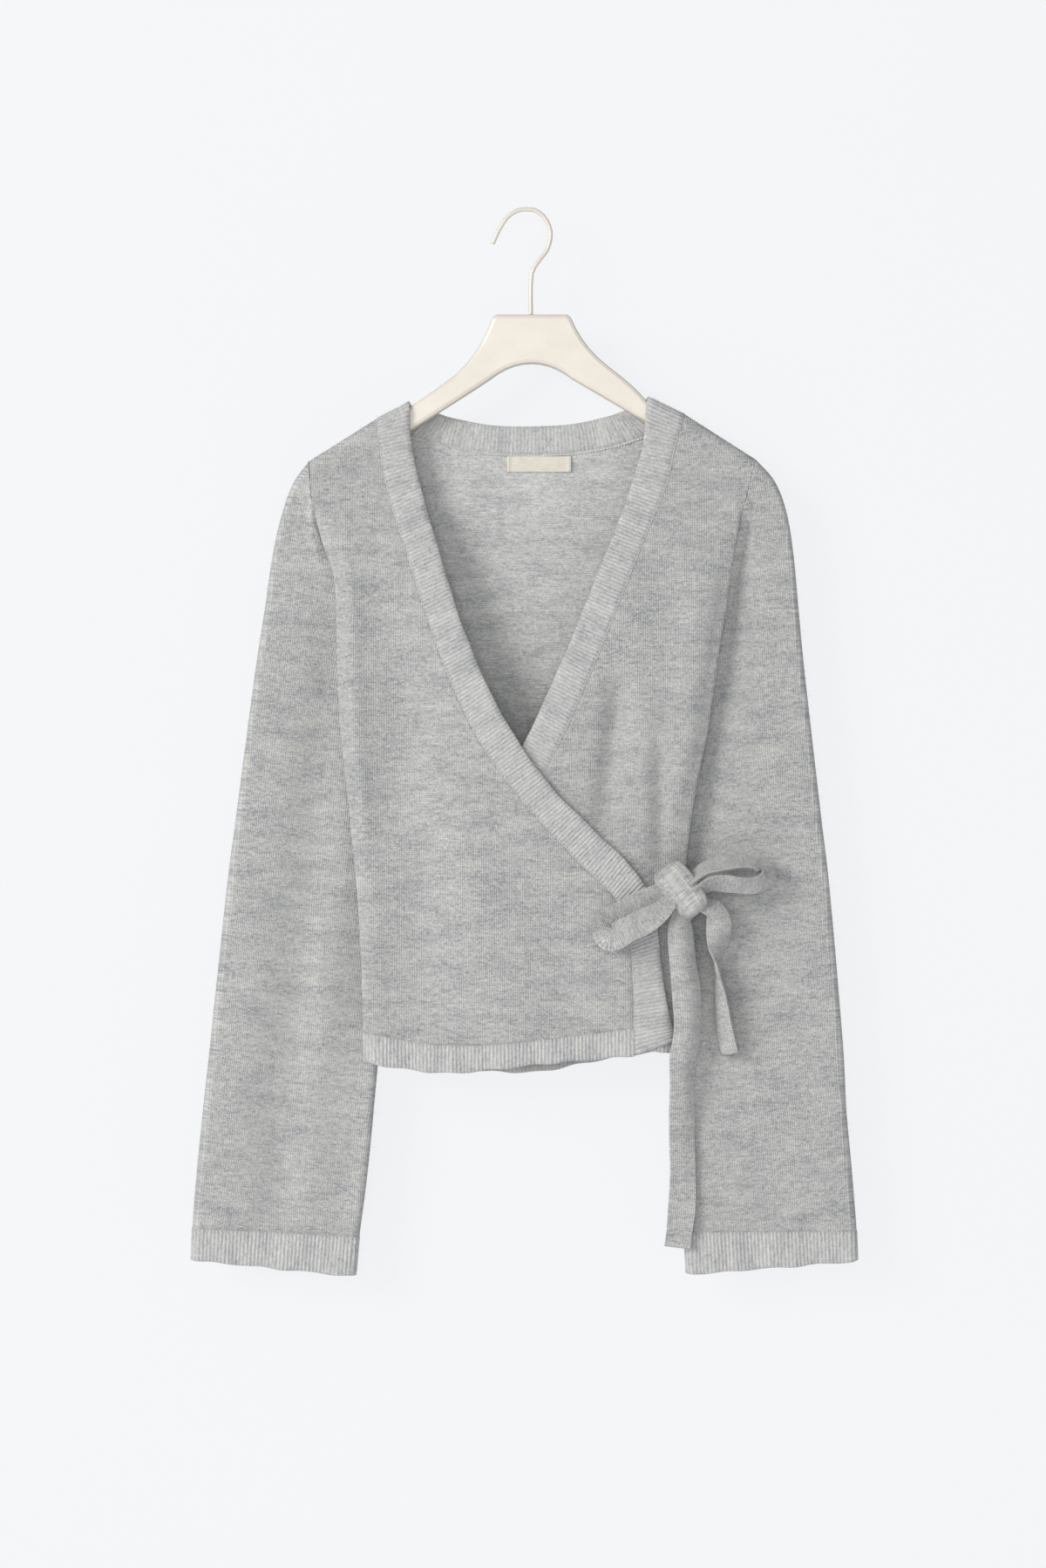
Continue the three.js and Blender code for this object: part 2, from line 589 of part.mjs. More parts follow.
// One ring of a sleeve, without its armhole's own shape: from the outer edge down the front, and back up behind.
function sleeveRing(row, shape, side) {
  const outer = new THREE.Vector2(row.outerX, row.outerZ);
  const inner = new THREE.Vector2(row.innerX, row.innerZ);
  const width = outer.distanceTo(inner);
  const turns = TURN.length - 1;
  const flats = UNDERARM - 2 * turns;
  const half = (facing, j) => {
    let from = 0;
    let high = 1;
    let thick = shape.outerHalf;
    if (j <= turns) {
      from = shape.outerHalf * (1 - Math.cos(TURN[j]));
      high = Math.sin(TURN[j]);
    } else if (j >= UNDERARM - turns) {
      thick = shape.innerHalf;
      from = width - thick * (1 - Math.cos(TURN[UNDERARM - j]));
      high = Math.sin(TURN[UNDERARM - j]);
    } else {
      from = lerp(shape.outerHalf, width - shape.innerHalf, (j - turns) / flats);
      thick = lerp(shape.outerHalf, shape.innerHalf, (j - turns) / flats);
    }
    const spot = outer.clone().lerp(inner, from / width);
    const trough = facing * sleeveFold(side, from / width, spot.y) * high;
    return place(spot.x, shape.middle + facing * thick * high + trough, spot.y);
  };
  const ring = [];
  for (let j = 0; j <= UNDERARM; j += 1) ring.push(half(1, j));
  for (let j = UNDERARM - 1; j > 0; j -= 1) ring.push(half(-1, j));
  return ring;
}

function sleeveFold(side, part, z) {
  let sum = 0;
  for (const f of SLEEVE_FOLDS.filter((fold) => fold.side === side)) {
    const fade = TROUGH.sleeveFade;
    const along = smooth((f.from + fade / 2 - z) / fade) * smooth((z - f.to + fade / 2) / fade);
    sum += f.depth * along * Math.exp(-(((part - f.across) / f.width) ** 2));
  }
  return sum;
}

// The sleeve's first ring lies just outside the panels' edges, and behind them where their sides are folded in.
function armholeRing(front, back, inward) {
  const beside = (row, facing) => {
    const edge = (facing > 0 ? front : back)[row][0];
    const folded = foldedAt(edge.z);
    const seamed = smooth((SEAM_TOP.sleeve - edge.z) / SEAM_TOP.fade);
    const aside = lerp(ARMHOLE.flat, ARMHOLE.folded, folded);
    const behind = ARMHOLE.behind * Math.sin((Math.PI / 2) * Math.min(ARMHOLE.early * folded, 1));
    const forward = lerp(-edge.y - facing * behind, SEAM_DEPTH, seamed);
    return place(edge.x - inward * aside, forward, edge.z + ARMHOLE.drop * seamed);
  };
  const ring = [];
  for (let row = 0; row <= UNDERARM; row += 1) ring.push(beside(row, 1));
  for (let row = UNDERARM - 1; row > 0; row -= 1) ring.push(beside(row, -1));
  ring[0].y = 0;
  return ring;
}

// All rings of a sleeve. The armhole's own shape fades out over the next rings.
function sleeveRings(rows, front, back, inward) {
  const first = armholeRing(front, back, inward);
  const shapes = rows.map((row, k) => SLEEVE_SHAPE[Math.min(k, SLEEVE_SHAPE.length - 1)]);
  const straight = rows.map((row, k) => sleeveRing(row, shapes[k], -inward));
  return straight.map((ring, k) => {
    const keep = new THREE.Vector3(shapes[k].keep, shapes[k].keepDepth, shapes[k].keep);
    return ring.map((p, j) => p.clone().add(first[j].clone().sub(straight[0][j]).multiply(keep)));
  });
}

// A flat knitted strap's section, across its width and its thickness
const TIE_SECTION = table('wide thick', [
  [-0.5, 0.2],
  [-0.5, -0.2],
  [-0.44, -0.5],
  [0.44, -0.5],
  [0.5, -0.2],
  [0.5, 0.2],
  [0.44, 0.5],
  [-0.44, 0.5],
]);

// A flat knitted strap along a route. face turns its width from the front's plane towards the viewer, in degrees.
function strap(route) {
  const spots = route.map((r) => place(r.x, r.forward, r.z));
  const curve = new THREE.CatmullRomCurve3(spots, false, 'centripetal');
  const forward = new THREE.Vector3(0, -1, 0);
  const points = [];
  const steps = (route.length - 1) * 2;
  for (let k = 0; k <= steps; k += 1) {
    const t = k / steps;
    const spot = curve.getPoint(t);
    const along = curve.getTangent(t);
    const i = Math.min(Math.floor(k / 2), route.length - 2);
    const f = k / 2 - i;
    const side = new THREE.Vector3().crossVectors(along, forward).normalize();
    const out = new THREE.Vector3().crossVectors(side, along).normalize();
    const face = THREE.MathUtils.degToRad(lerp(route[i].face, route[i + 1].face, f));
    const width = lerp(route[i].width, route[i + 1].width, f);
    const aside = side.clone().multiplyScalar(Math.cos(face)).addScaledVector(out, Math.sin(face));
    const up = new THREE.Vector3().crossVectors(aside, along).normalize();
    for (const row of TIE_SECTION) {
      const spread = spot.clone().addScaledVector(aside, row.wide * width);
      points.push(spread.addScaledVector(up, row.thick * TIE_THICK));
    }
  }
  return solid(points, tubeFaces(TIE_SECTION.length, steps));
}

function tubeFaces(sides, steps) {
  const faces = [];
  for (let k = 0; k < steps; k += 1) {
    for (let j = 0; j < sides; j += 1) {
      const a = k * sides + j;
      const b = k * sides + ((j + 1) % sides);
      faces.push([a, b, b + sides], [a, b + sides, a + sides]);
    }
  }
  for (let j = 1; j + 1 < sides; j += 1) {
    faces.push([0, j + 1, j], [steps * sides, steps * sides + j, steps * sides + j + 1]);
  }
  return faces;
}

// The bow. x and z as seen from the front, forward from the hanger's middle, width of the strap, and its face.
const KNOT = table('x z wide deep', [
  [107.5, -512.8, 9, 6],
  [110.5, -516.0, 17, 12],
  [115.0, -523.0, 20, 15],
  [121.0, -531.5, 21, 16],
  [127.0, -540.5, 20, 14],
  [130.5, -546.0, 15, 11],
  [132.5, -549.0, 8, 6],
]);
const KNOT_FORWARD = 28;
const KNOT_SIDES = 12;
const KNOT_SQUARE = 0.8; // 1 is an ellipse, and less is squarer
const LOOP_LEFT = table('x forward z face width', [
  [112, 28.5, -528, 10, 13],
  [101, 28.6, -532, 10, 17],
  [86, 28.4, -540, 8, 21],
  [72, 28.4, -552, 4, 21],
  [65.5, 30.5, -560, 0, 21],
  [65, 34, -564, 0, 21],
  [72, 36, -562, 0, 21],
  [84, 36, -556.5, 4, 21],
  [96, 34.6, -549, 8, 19],
  [104, 33.4, -543, 10, 15],
  [112, 32, -536, 10, 11],
]);
const LOOP_RIGHT = table('x forward z face width', [
  [124, 29, -524, 78, 15],
  [134, 29, -514.5, 80, 18],
  [142, 28, -510, 82, 20],
  [154, 27, -506.7, 84, 21],
  [168, 26, -505.4, 86, 21],
  [178, 26, -506.7, 86, 21],
  [186.5, 26, -511.5, 84, 21],
  [190.4, 26, -518, 82, 21],
  [187.6, 26, -525, 80, 21],
  [180, 27, -530.4, 76, 21],
  [170, 28, -531.4, 72, 21],
  [156, 28, -528, 70, 20],
  [143, 29, -527.5, 72, 18],
  [130, 29, -534, 78, 15],
]);
const TAIL_LONG = table('x forward z face width', [
  [122, 26, -542, 40, 13],
  [119.8, 26.6, -553, 42, 17],
  [119.6, 27.5, -563, 44, 21],
  [121.5, 28, -585, 46, 21],
  [125.5, 28, -610, 52, 21],
  [125.6, 27.5, -640, 58, 21],
  [121.4, 26.5, -664, 60, 21],
  [121.0, 25, -692, 50, 21],
  [121.0, 22, -722, 50, 21],
  [121.8, 18, -745, 32, 21],
  [122.0, 15, -768, 8, 21],
  [120.0, 14, -790, 2, 21],
  [117.6, 14, -809.5, 0, 21],
]);
const TAIL_SHORT = table('x forward z face width', [
  [128, 25, -541, 70, 12],
  [138, 25, -542.5, 66, 14],
  [145.5, 25, -546, 56, 17],
  [149, 25, -553.5, 44, 20],
  [149.0, 25, -563, 48, 21],
  [148.6, 24.5, -574, 64, 21],
  [149.0, 24, -586, 88, 21],
  [150.0, 23, -607, 108, 21],
  [151.6, 22, -625, 114, 21],
  [154.0, 20.5, -643, 122, 21],
  [157.6, 19.5, -658.5, 122, 21],
]);

// The knot is a short length of the tie pulled tight round the others: a rounded lump along its slanted axis.
function knot(grow) {
  const points = [];
  const last = KNOT.length - 1;
  const axis = new THREE.Vector2(KNOT[last].x - KNOT[0].x, KNOT[last].z - KNOT[0].z).normalize();
  const squared = (value) => Math.sign(value) * Math.abs(value) ** KNOT_SQUARE;
  KNOT.forEach((row, k) => {
    const push = { 0: -grow, [last]: grow }[k] ?? 0;
    for (let j = 0; j < KNOT_SIDES; j += 1) {
      const angle = (2 * Math.PI * j) / KNOT_SIDES;
      const wide = (row.wide / 2 + grow) * squared(Math.cos(angle));
      const deep = (row.deep / 2 + grow) * squared(Math.sin(angle));
      const x = row.x + axis.x * push - axis.y * wide;
      const z = row.z + axis.y * push + axis.x * wide;
      points.push(place(x, KNOT_FORWARD + deep, z));
    }
  });
  return solid(points, tubeFaces(KNOT_SIDES, last));
}

function toManifold(geometry) {
  const mesh = new wasm.Mesh({
    numProp: 3,
    vertProperties: new Float32Array(geometry.attributes.position.array),
    triVerts: new Uint32Array(geometry.index.array),
  });
  mesh.merge();
  return new wasm.Manifold(mesh);
}

function fromManifold(manifold) {
  const mesh = manifold.getMesh();
  const geometry = new THREE.BufferGeometry();
  geometry.setAttribute('position', new THREE.Float32BufferAttribute(mesh.vertProperties, 3));
  geometry.setIndex([...mesh.triVerts]);
  return geometry;
}

// A strap that ends a seam's gap from the knot
function tied(route) {
  return fromManifold(toManifold(strap(route)).subtract(toManifold(knot(SEAM_GAP))));
}

// The end of the upper tie, sewn to the corner of the top front's band
function bandRoot() {
  return table('x forward z face width', [
    [99.4, outerDepth(97, -537) + 0.4, -536.5, 0, 17],
    [103, 23.2, -534.5, 0, 15],
    [107, 23.6, -532.5, 0, 13],
    [113, 24.2, -531, 0, 11],
  ]);
}

// The end of the lower tie, sewn to the side behind the knot
function sideRoot() {
  const lies = innerDepth(114, -533) + WALL / 2 + STACK_GAP + TIE_THICK / 2 + 0.5;
  return table('x forward z face width', [
    [108, lies, -532, 0, 19],
    [114, lies, -533, 0, 19],
    [120, lies - 0.2, -534, 0, 19],
  ]);
}

// The hanger's curves, in the order of its outline, by their two control points and their end, measured from its
// middle: down the plate's flared right side to the cloth, along the underside from arm to arm, and up the left side
const FLARE_RIGHT = table('ax az bx bz x z', [
  [37, -98, 45, -110, 60, -121.5],
  [70, -129.5, 80, -136.5, 90.4, -149],
]);
const UNDERSIDE = table('ax az bx bz x z', [
  [66, -151.5, 46, -139.5, 32, -131.5],
  [22, -123.4, 11, -119.3, 0, -119.2],
  [-11, -119.3, -22, -123.4, -32, -131.5],
  [-46, -141, -66, -153.5, -92, -170],
]);
const FLARE_LEFT = table('ax az bx bz x z', [
  [-80, -143.5, -70, -136, -60, -128.5],
  [-45, -115, -37, -101, -30.8, -83.6],
]);

// The round end of one of the hanger's arms, whose top edge runs just under the cloth
function armEnd(side, top) {
  const x = HANGER.middle + side * HANGER.reach;
  const slope = Math.atan2(top(x - side * HANGER.endSlope) - top(x), HANGER.endSlope);
  const up = new THREE.Vector2(side * Math.sin(slope), Math.cos(slope));
  const middle = new THREE.Vector2(x, top(x)).addScaledVector(up, -HANGER.tip);
  return { middle, angle: Math.atan2(up.y, up.x) };
}

// The hanger's body, its outline clockwise from the right end of the plate's top
function hangerBody() {
  const m = HANGER.middle;
  const top = (x) => at(SHOULDER, 'x', 'z', x, true) - HANGER.below;
  const shape = new THREE.Shape();
  const follow = (c) => shape.bezierCurveTo(m + c.ax, c.az, m + c.bx, c.bz, m + c.x, c.z);
  const neck = { left: NECK[0].seamX, right: NECK[NECK.length - 1].seamX };
  const right = armEnd(1, top);
  const left = armEnd(-1, top);
  shape.moveTo(m + HANGER.plateHalf, HANGER.plateTop);
  shape.lineTo(m + HANGER.cornerHalf, HANGER.cornerZ);
  FLARE_RIGHT.forEach(follow);
  shape.lineTo(neck.right, top(neck.right));
  shape.absarc(right.middle.x, right.middle.y, HANGER.tip, right.angle, right.angle - Math.PI, true);
  shape.lineTo(m + HANGER.underFrom, HANGER.underZ);
  UNDERSIDE.forEach(follow);
  shape.absarc(left.middle.x, left.middle.y, HANGER.tip, left.angle + Math.PI, left.angle, true);
  shape.lineTo(neck.left, top(neck.left));
  shape.lineTo(NECK[0].freeX, top(NECK[0].freeX));
  FLARE_LEFT.forEach(follow);
  shape.lineTo(m - HANGER.plateHalf, HANGER.plateTop);
  shape.closePath();
  const depth = HANGER.thick - 2 * HANGER.bevel;
  const geometry = new THREE.ExtrudeGeometry(shape, {
    depth,
    curveSegments: 5,
    bevelThickness: HANGER.bevel,
    bevelSize: HANGER.bevel,
    bevelOffset: -HANGER.bevel,
    bevelSegments: 2,
  });
  geometry.translate(0, 0, -depth / 2);
  geometry.rotateX(Math.PI / 2);
  return geometry;
}

// The wire hook's middle line, from its free tip over the crown down to the plate's top
const HOOK = table('x z', [
  [-26.5, -25.2],
  [-21.3, -14],
  [-14.5, -4],
  [-6.5, 0.9],
  [0, WIRE / 2],
  [6.5, 1],
  [14.4, -5.2],
  [18.8, -16.3],
  [16.4, -29.5],
  [9.3, -39],
  [4.6, -47],
  [3.4, -57],
  [3.4, -80.7],
]);

function hangerHook() {
  const path = new THREE.CatmullRomCurve3(HOOK.map((r) => place(r.x, 0, r.z)), false, 'centripetal');
  const section = new THREE.Shape();
  section.absarc(0, 0, WIRE / 2, 0, 2 * Math.PI);
  return new THREE.ExtrudeGeometry(section, { steps: 30, curveSegments: 4, extrudePath: path });
}

// The label lies on the inside of the back, below the neck's seam
function neckLabel() {
  const lift = WALL / 2 + STACK_GAP + LABEL.thick / 2;
  const rows = [0.5, -0.5].map((v) => [-0.5, 0, 0.5].map((u) => {
    const x = LABEL.x + u * LABEL.width;
    const z = LABEL.z + v * LABEL.height;
    return place(x, backDepth(x, z) + lift, z);
  }));
  return wall(rows, normalsOf(rows), LABEL.thick);
}

const part = new THREE.Group();

function addPiece(name, geometry, look) {
  const piece = new THREE.Mesh(geometry, new THREE.MeshStandardMaterial(look));
  piece.name = name;
  part.add(piece);
}

// The row that would come before a panel's first row if the cloth went on over the arm
const mirrored = (row) => row.map((p) => new THREE.Vector3(p.x, -p.y, p.z));

// The panels at the shoulder seam stand a gap apart
function parted(rows, y) {
  const [first, ...others] = rows;
  return [first.map((p) => p.clone().setY(p.y + y)), ...others];
}

// The back's first row is a shoulder seam at its two sides and an open neck between them
function overNeck([first, second]) {
  const open = (p) => p.x > NECK[0].seamX + SEAM_GAP && p.x < NECK[NECK.length - 1].seamX - SEAM_GAP;
  const sides = mirrored(second);
  return first.map((p, j) => (open(p) ? p.clone().multiplyScalar(2).sub(second[j]) : sides[j].setX(p.x)));
}

const outerBand = { rows: BAND_OUTER, bottom: HEM_OUTER[HEM_OUTER.length - 1].top };
const innerBand = { rows: BAND_INNER, bottom: HEM_INNER[0].top };
const outerRows = frontPanel(1, SHOULDER_POINT.left.z, outerBand, outerDepth, HEM_OUTER);
const innerRows = frontPanel(-1, SHOULDER_POINT.right.z, innerBand, innerDepth, HEM_INNER);
const frontOuter = parted(outerRows, -SEAM_GAP / 2);
const frontInner = parted(innerRows, -SEAM_GAP / 2);
const back = parted(backPanel(), SEAM_GAP / 2);
const outerNormals = normalsOf(frontOuter, { outward: 1, before: mirrored(frontOuter[1]) });
const innerNormals = normalsOf(frontInner, { outward: -1, before: mirrored(frontInner[1]) });
const backNormals = normalsOf(back, { outward: -1, before: overNeck(back) });

// At the neck's corners the shoulder seams share the fronts' normals, and along the side seams both walls face the
// sleeve squarely.
const neckStart = back[0].findIndex((p) => p.x === NECK[0].seamX);
const neckEnd = neckStart + NECK.length - 1;
backNormals[0][neckStart] = outerNormals[0][outerNormals[0].length - 1];
backNormals[0][neckEnd] = innerNormals[0][innerNormals[0].length - 1];
for (let row = UNDERARM; row <= LAST_ROW; row += 1) {
  outerNormals[row][0].set(-1, 0, 0);
  innerNormals[row][0].set(1, 0, 0);
  backNormals[row][0].set(-1, 0, 0);
  backNormals[row][backNormals[row].length - 1].set(1, 0, 0);
}

addPiece('front_outer', wall(frontOuter, outerNormals, WALL), KNIT);
addPiece('front_inner', wall(frontInner, innerNormals, WALL), KNIT);
addPiece('back', wall(back, backNormals, WALL), KNIT);

// A hem hangs from a panel's last row
function addHem(name, panel, normals, lines, plainFrom) {
  const last = panel[panel.length - 1];
  const top = last.map((p) => p.clone().setZ(p.z - SEAM_GAP));
  const bottom = last.map((p) => p.clone().setZ(at(lines, 'x', 'bottom', p.x)));
  addPiece(name, ribbed(top, bottom, normals[normals.length - 1], { plainFrom }), RIB);
}

addHem('hem_front_outer', frontOuter, outerNormals, HEM_OUTER);
addHem('hem_front_inner', frontInner, innerNormals, HEM_INNER, HIDDEN_HEM);
addHem('hem_back', back, backNormals, HEM_BACK);

function addBand(name, { rows }, panel, normals, depth, bottom, plainFrom) {
  const { seam, free } = frontBand(rows, panel, depth, bottom);
  const outward = normals.map((row) => row[row.length - 1]);
  outward.push(outward[outward.length - 1]);
  addPiece(name, ribbed(seam, free, outward, { plainFrom }), RIB);
}

addBand('band_outer', outerBand, frontOuter, outerNormals, outerDepth, HEM_OUTER[HEM_OUTER.length - 1].bottom);
addBand('band_inner', innerBand, frontInner, innerNormals, innerDepth, HEM_INNER[0].bottom, HIDDEN_BAND);

// The back neck band sits on the back's top edge between the shoulders
function neckBand() {
  const free = NECK.map((row) => place(row.freeX, backDepth(row.freeX, row.freeZ), row.freeZ));
  const seam = free.map((p, i) => below([back[0][neckStart + i]], [p], SEAM_GAP)[0]);
  const outward = backNormals[0].slice(neckStart, neckEnd + 1);
  const freeNormals = normalsOf([seam, free], { outward: 1 })[1];
  for (const end of [0, free.length - 1]) {
    free[end].y += SEAM_GAP / 2;
    freeNormals[end] = outward[end];
  }
  return ribbed(seam, free, outward, { normalsB: freeNormals });
}
addPiece('band_neck', neckBand(), RIB);

// A sleeve and its cuff. Where the side lies flat the sleeve's first ring has the panels' own normals.
function addSleeve(side, inward, rows, cuff, front, rear) {
  const rings = sleeveRings(rows, front.rows, rear.rows, inward);
  const normals = normalsOf(rings, { around: true, outward: -inward });
  const flat = rings[0].slice(0, UNDERARM).filter((p) => foldedAt(p.z) === 0).length;
  for (let row = 0; row < flat; row += 1) normals[0][row] = front.normals[row][0];
  for (let row = 1; row < flat; row += 1) normals[0][2 * UNDERARM - row] = rear.normals[row][0];
  addPiece('sleeve_' + side, wall(rings, normals, WALL, true), KNIT);
  const last = rings[rings.length - 1];
  const end = sleeveRing(cuff, SLEEVE_SHAPE[SLEEVE_SHAPE.length - 1], 0);
  const outward = normals[normals.length - 1];
  addPiece('cuff_' + side, ribbed(below(last, end, SEAM_GAP), end, outward, { around: true }), RIB);
}

const flipped = (rows) => rows.map((row) => [...row].reverse());
const fromLeft = { rows: back, normals: backNormals };
const fromRight = { rows: flipped(back), normals: flipped(backNormals) };
addSleeve('left', 1, SLEEVE_LEFT, CUFF_LEFT, { rows: frontOuter, normals: outerNormals }, fromLeft);
addSleeve('right', -1, SLEEVE_RIGHT, CUFF_RIGHT, { rows: frontInner, normals: innerNormals }, fromRight);

addPiece('neck_label', neckLabel(), WOVEN);
addPiece('tie_knot', knot(0), KNIT);
addPiece('tie_loop_left', tied(LOOP_LEFT), KNIT);
addPiece('tie_loop_right', tied(LOOP_RIGHT), KNIT);
addPiece('tie_tail_long', tied(TAIL_LONG), KNIT);
addPiece('tie_tail_short', tied(TAIL_SHORT), KNIT);
addPiece('tie_root_band', tied(bandRoot()), KNIT);
addPiece('tie_root_side', tied(sideRoot()), KNIT);
addPiece('hanger_body', hangerBody(), PAINT);
addPiece('hanger_hook', hangerHook(), PAINT);

export default part;
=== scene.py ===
# Looks for a fine-knit wrap cardigan on a painted hanger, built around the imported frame.
# Tables and sizes are in millimetres, with +X to the viewer's right, forward towards the viewer and
# +Z up. Every mesh is made in metres in the row's frame, where forward is -Y.

import math

import bmesh
import bpy
import numpy as np
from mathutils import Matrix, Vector


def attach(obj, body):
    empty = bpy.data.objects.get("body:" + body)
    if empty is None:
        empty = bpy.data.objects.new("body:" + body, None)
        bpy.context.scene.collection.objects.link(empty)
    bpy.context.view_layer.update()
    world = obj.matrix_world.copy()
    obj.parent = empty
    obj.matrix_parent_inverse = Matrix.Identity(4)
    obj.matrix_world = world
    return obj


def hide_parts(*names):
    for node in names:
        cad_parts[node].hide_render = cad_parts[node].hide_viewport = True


MM = 0.001
SEED = 11
FORWARD = np.array([0.0, -1.0, 0.0])

# Cloth: its wall and rims, the gaps between pieces, its ribs and its stitches
WALL = 2.4
RIM = 0.6
SEAM_GAP = 0.3
STACK_GAP = 0.4
RIB_RISE = 0.42
RIB_PITCH = 2.9
RIB_STEPS = 6
RIB_ROUND = 0.8
STITCH = {"width": 1.45, "height": 1.15}

# How the cloth rounds the hanger's arm, settles below it, levels out and sags to the hem
ARM_ROUND = 8.2
SETTLE = 16
LEVEL_OUT = 180
SAG_TOP = -520
SIDE_END = -641.2
ROW_STEP = 5.2

# How the outer front lifts where it lies over the inner one
WRAP = {"lift": 4.8, "before": 62, "ramp": 40, "below": -340, "fade": 60}

# The slack of the cloth, as low waves: their length, angle and height
WAVES = [(61, 0.35, 0.22), (37, 1.9, 0.16), (23, 2.7, 0.1), (89, 1.2, 0.25)]

# The sides of fronts and back, folded in below the armholes
FOLD_IN = 1.5
FOLD_ROUND = 2.2
FOLD_BENT = 6.9
FOLD_FLAT = 8
FLAT_EDGE = 2
FOLD_TIGHT = 2.5
FOLD_TOP = -231
FOLD_FULL = -262
TAIL_STEPS = 6
ARC_STEPS = 6
FOLD_STEPS = TAIL_STEPS + ARC_STEPS - 1

# The side seams, and how the sleeve starts round the armhole
SEAM_DEPTH = -1
SEAM_TOP = {"panel": -326, "sleeve": -322, "fade": 14}
ARMHOLE = {"flat": 0.12, "folded": 3.5, "behind": 3, "early": 1.6, "drop": 3}

# How knitted edges roll: the height and length of the waves, and their shape
CURLS = {"band": (0.8, 58), "hem": (1.3, 46), "cuff": (1.1, 52)}
CURL_SHAPE = {"finer": 0.43, "finer_height": 0.6, "raised": 0.5, "raised_length": 0.7}

# The ties and their knot
STRAP = {
    "thick": 3.4, "square": 0.6, "width": 20, "bend_power": 1.6, "curl": 1.5, "curl_power": 4,
    "curl_low": 0.35, "uneven": 0.03, "uneven_over": 9.1, "twist_over": 6.7,
}
KNOT_SHAPE = {"forward": 28, "square": 0.38, "ends": 6, "around": 9}
ROOT_LIFT = {"band": 2.6, "side": 0.5}

# The neck label. Its folded ends and its stitches are placed by parts of its width and height.
LABEL = {
    "x": 9.9, "z": -197, "width": 50, "height": 12, "thick": 0.9, "fold": 0.5, "fold_from": 0.44,
    "fold_over": 0.02, "sewn": 0.468, "sewn_high": 0.46,
}

# Rows of stitches: how far they stand off, their pitch, half length and thickness, and their lean
STITCHES = {
    "band": {"lift": WALL / 2 + 0.4, "pitch": 1.6, "size": (0.8, 0.46), "lean": 0.5},
    "neck": {"lift": WALL / 2 + 0.6, "pitch": 2.3, "size": (1.25, 0.8), "lean": 0.35},
    "label": {"lift": 0.1, "pitch": 1.9, "size": (0.75, 0.2), "lean": 0.15},
}
LINKED = {"from": -176, "outer": -660, "inner": -440, "neck_ends": 60, "neck_below": 1.3}
BEAD_RINGS = [(-1, 0), (-0.6, 0.8), (0.6, 0.8), (1, 0)]
BEAD_SIDES = 6

# Loose fibres: their shape, and for each group its pieces, how many grow there and their length
FIBRE = {
    "radius": 0.05, "narrower": 0.8, "buried": 0.3, "shortest": 0.35,
    "rise": 0.45, "lean": 0.6, "tip_rise": 0.15, "tip_lean": 0.75,
}
FUZZ = [
    ("front", "front_outer front_inner band_outer band_inner hem_front_outer hem_front_inner", 17000, 4.4),
    ("back", "back hem_back band_neck", 13000, 4.4),
    ("sleeves", "sleeve_left sleeve_right cuff_left cuff_right", 18500, 4.4),
    ("bow", "tie_knot tie_loop_left tie_loop_right tie_tail_long tie_tail_short", 7000, 3.2),
]

# How finely each form is drawn
FINE = {
    "front": 38, "back": 84, "turn": 9, "band_turn": 30, "band": 600, "band_across": 6, "neck": 500,
    "neck_height": 400, "sleeve_around": 56, "sleeve_down": 104, "sleeve_top": 40, "cuff": 120,
    "cuff_across": 7, "strap": 96, "strap_around": 40, "knot": 54, "knot_around": 64,
}

# Colours as they look on a screen
COLOURS = {
    "knit": ((214, 212, 207), (190, 190, 188), (155, 157, 160)),
    "rib": ((211, 209, 205), (194, 194, 192), (167, 169, 171)),
    "linking": ((186, 188, 186), (220, 220, 216)),
    "fibres": ((190, 192, 192), (232, 232, 230)),
    "tape": ((225, 218, 203), (237, 231, 219)),
    "paint": ((212, 204, 192), (220, 213, 202)),
    "worn_paint": (205, 194, 178),
}
# How much lighter the inside of the cloth is painted: painted light for the inside, which lies in shade
# behind the fronts
INSIDE_PAINTED_LIGHT = 16
BLACK = (0, 0, 0, 1)
WHITE = (1, 1, 1, 1)

# The photograph: its size in pixels, the millimetres to a pixel at the cardigan, and the pixel of the
# hook's crown. The camera stands off the plane in which the front lies.
PHOTO = {"width": 1200, "height": 1798, "mm": 0.68, "hook_x": 604, "hook_y": 240}
CAMERA_AWAY = 2700
CAMERA_PLANE = 10
LENS_SENSOR = 36

# The room and its light, in metres
ROOM = {"wall": 0.034, "floor": -1.15, "high": 2.6, "wide": 4.0}
ROOM_LOOK = {"shaded": 0.085, "mottled": 0.96, "spots": 0.2, "glow": (0.808, 0.818, 0.838, 1)}
SKY = {"strength": 0.4, "colour": (0.97, 0.985, 1.0)}
LAMP_AIM = (0, 0, -0.45)
LAMPS = [
    {"name": "key", "at": (-4.2, -3.8, 1.4), "size": 2.8, "power": 238, "colour": (1, 0.985, 0.965)},
    {"name": "fill", "at": (-0.2, -4.2, -0.2), "size": 1.6, "power": 40, "colour": (0.98, 0.99, 1)},
    {"name": "rear", "at": (0, 4.2, 0.4), "size": 1.2, "power": 110, "colour": (1, 1, 1), "glossy": False},
]


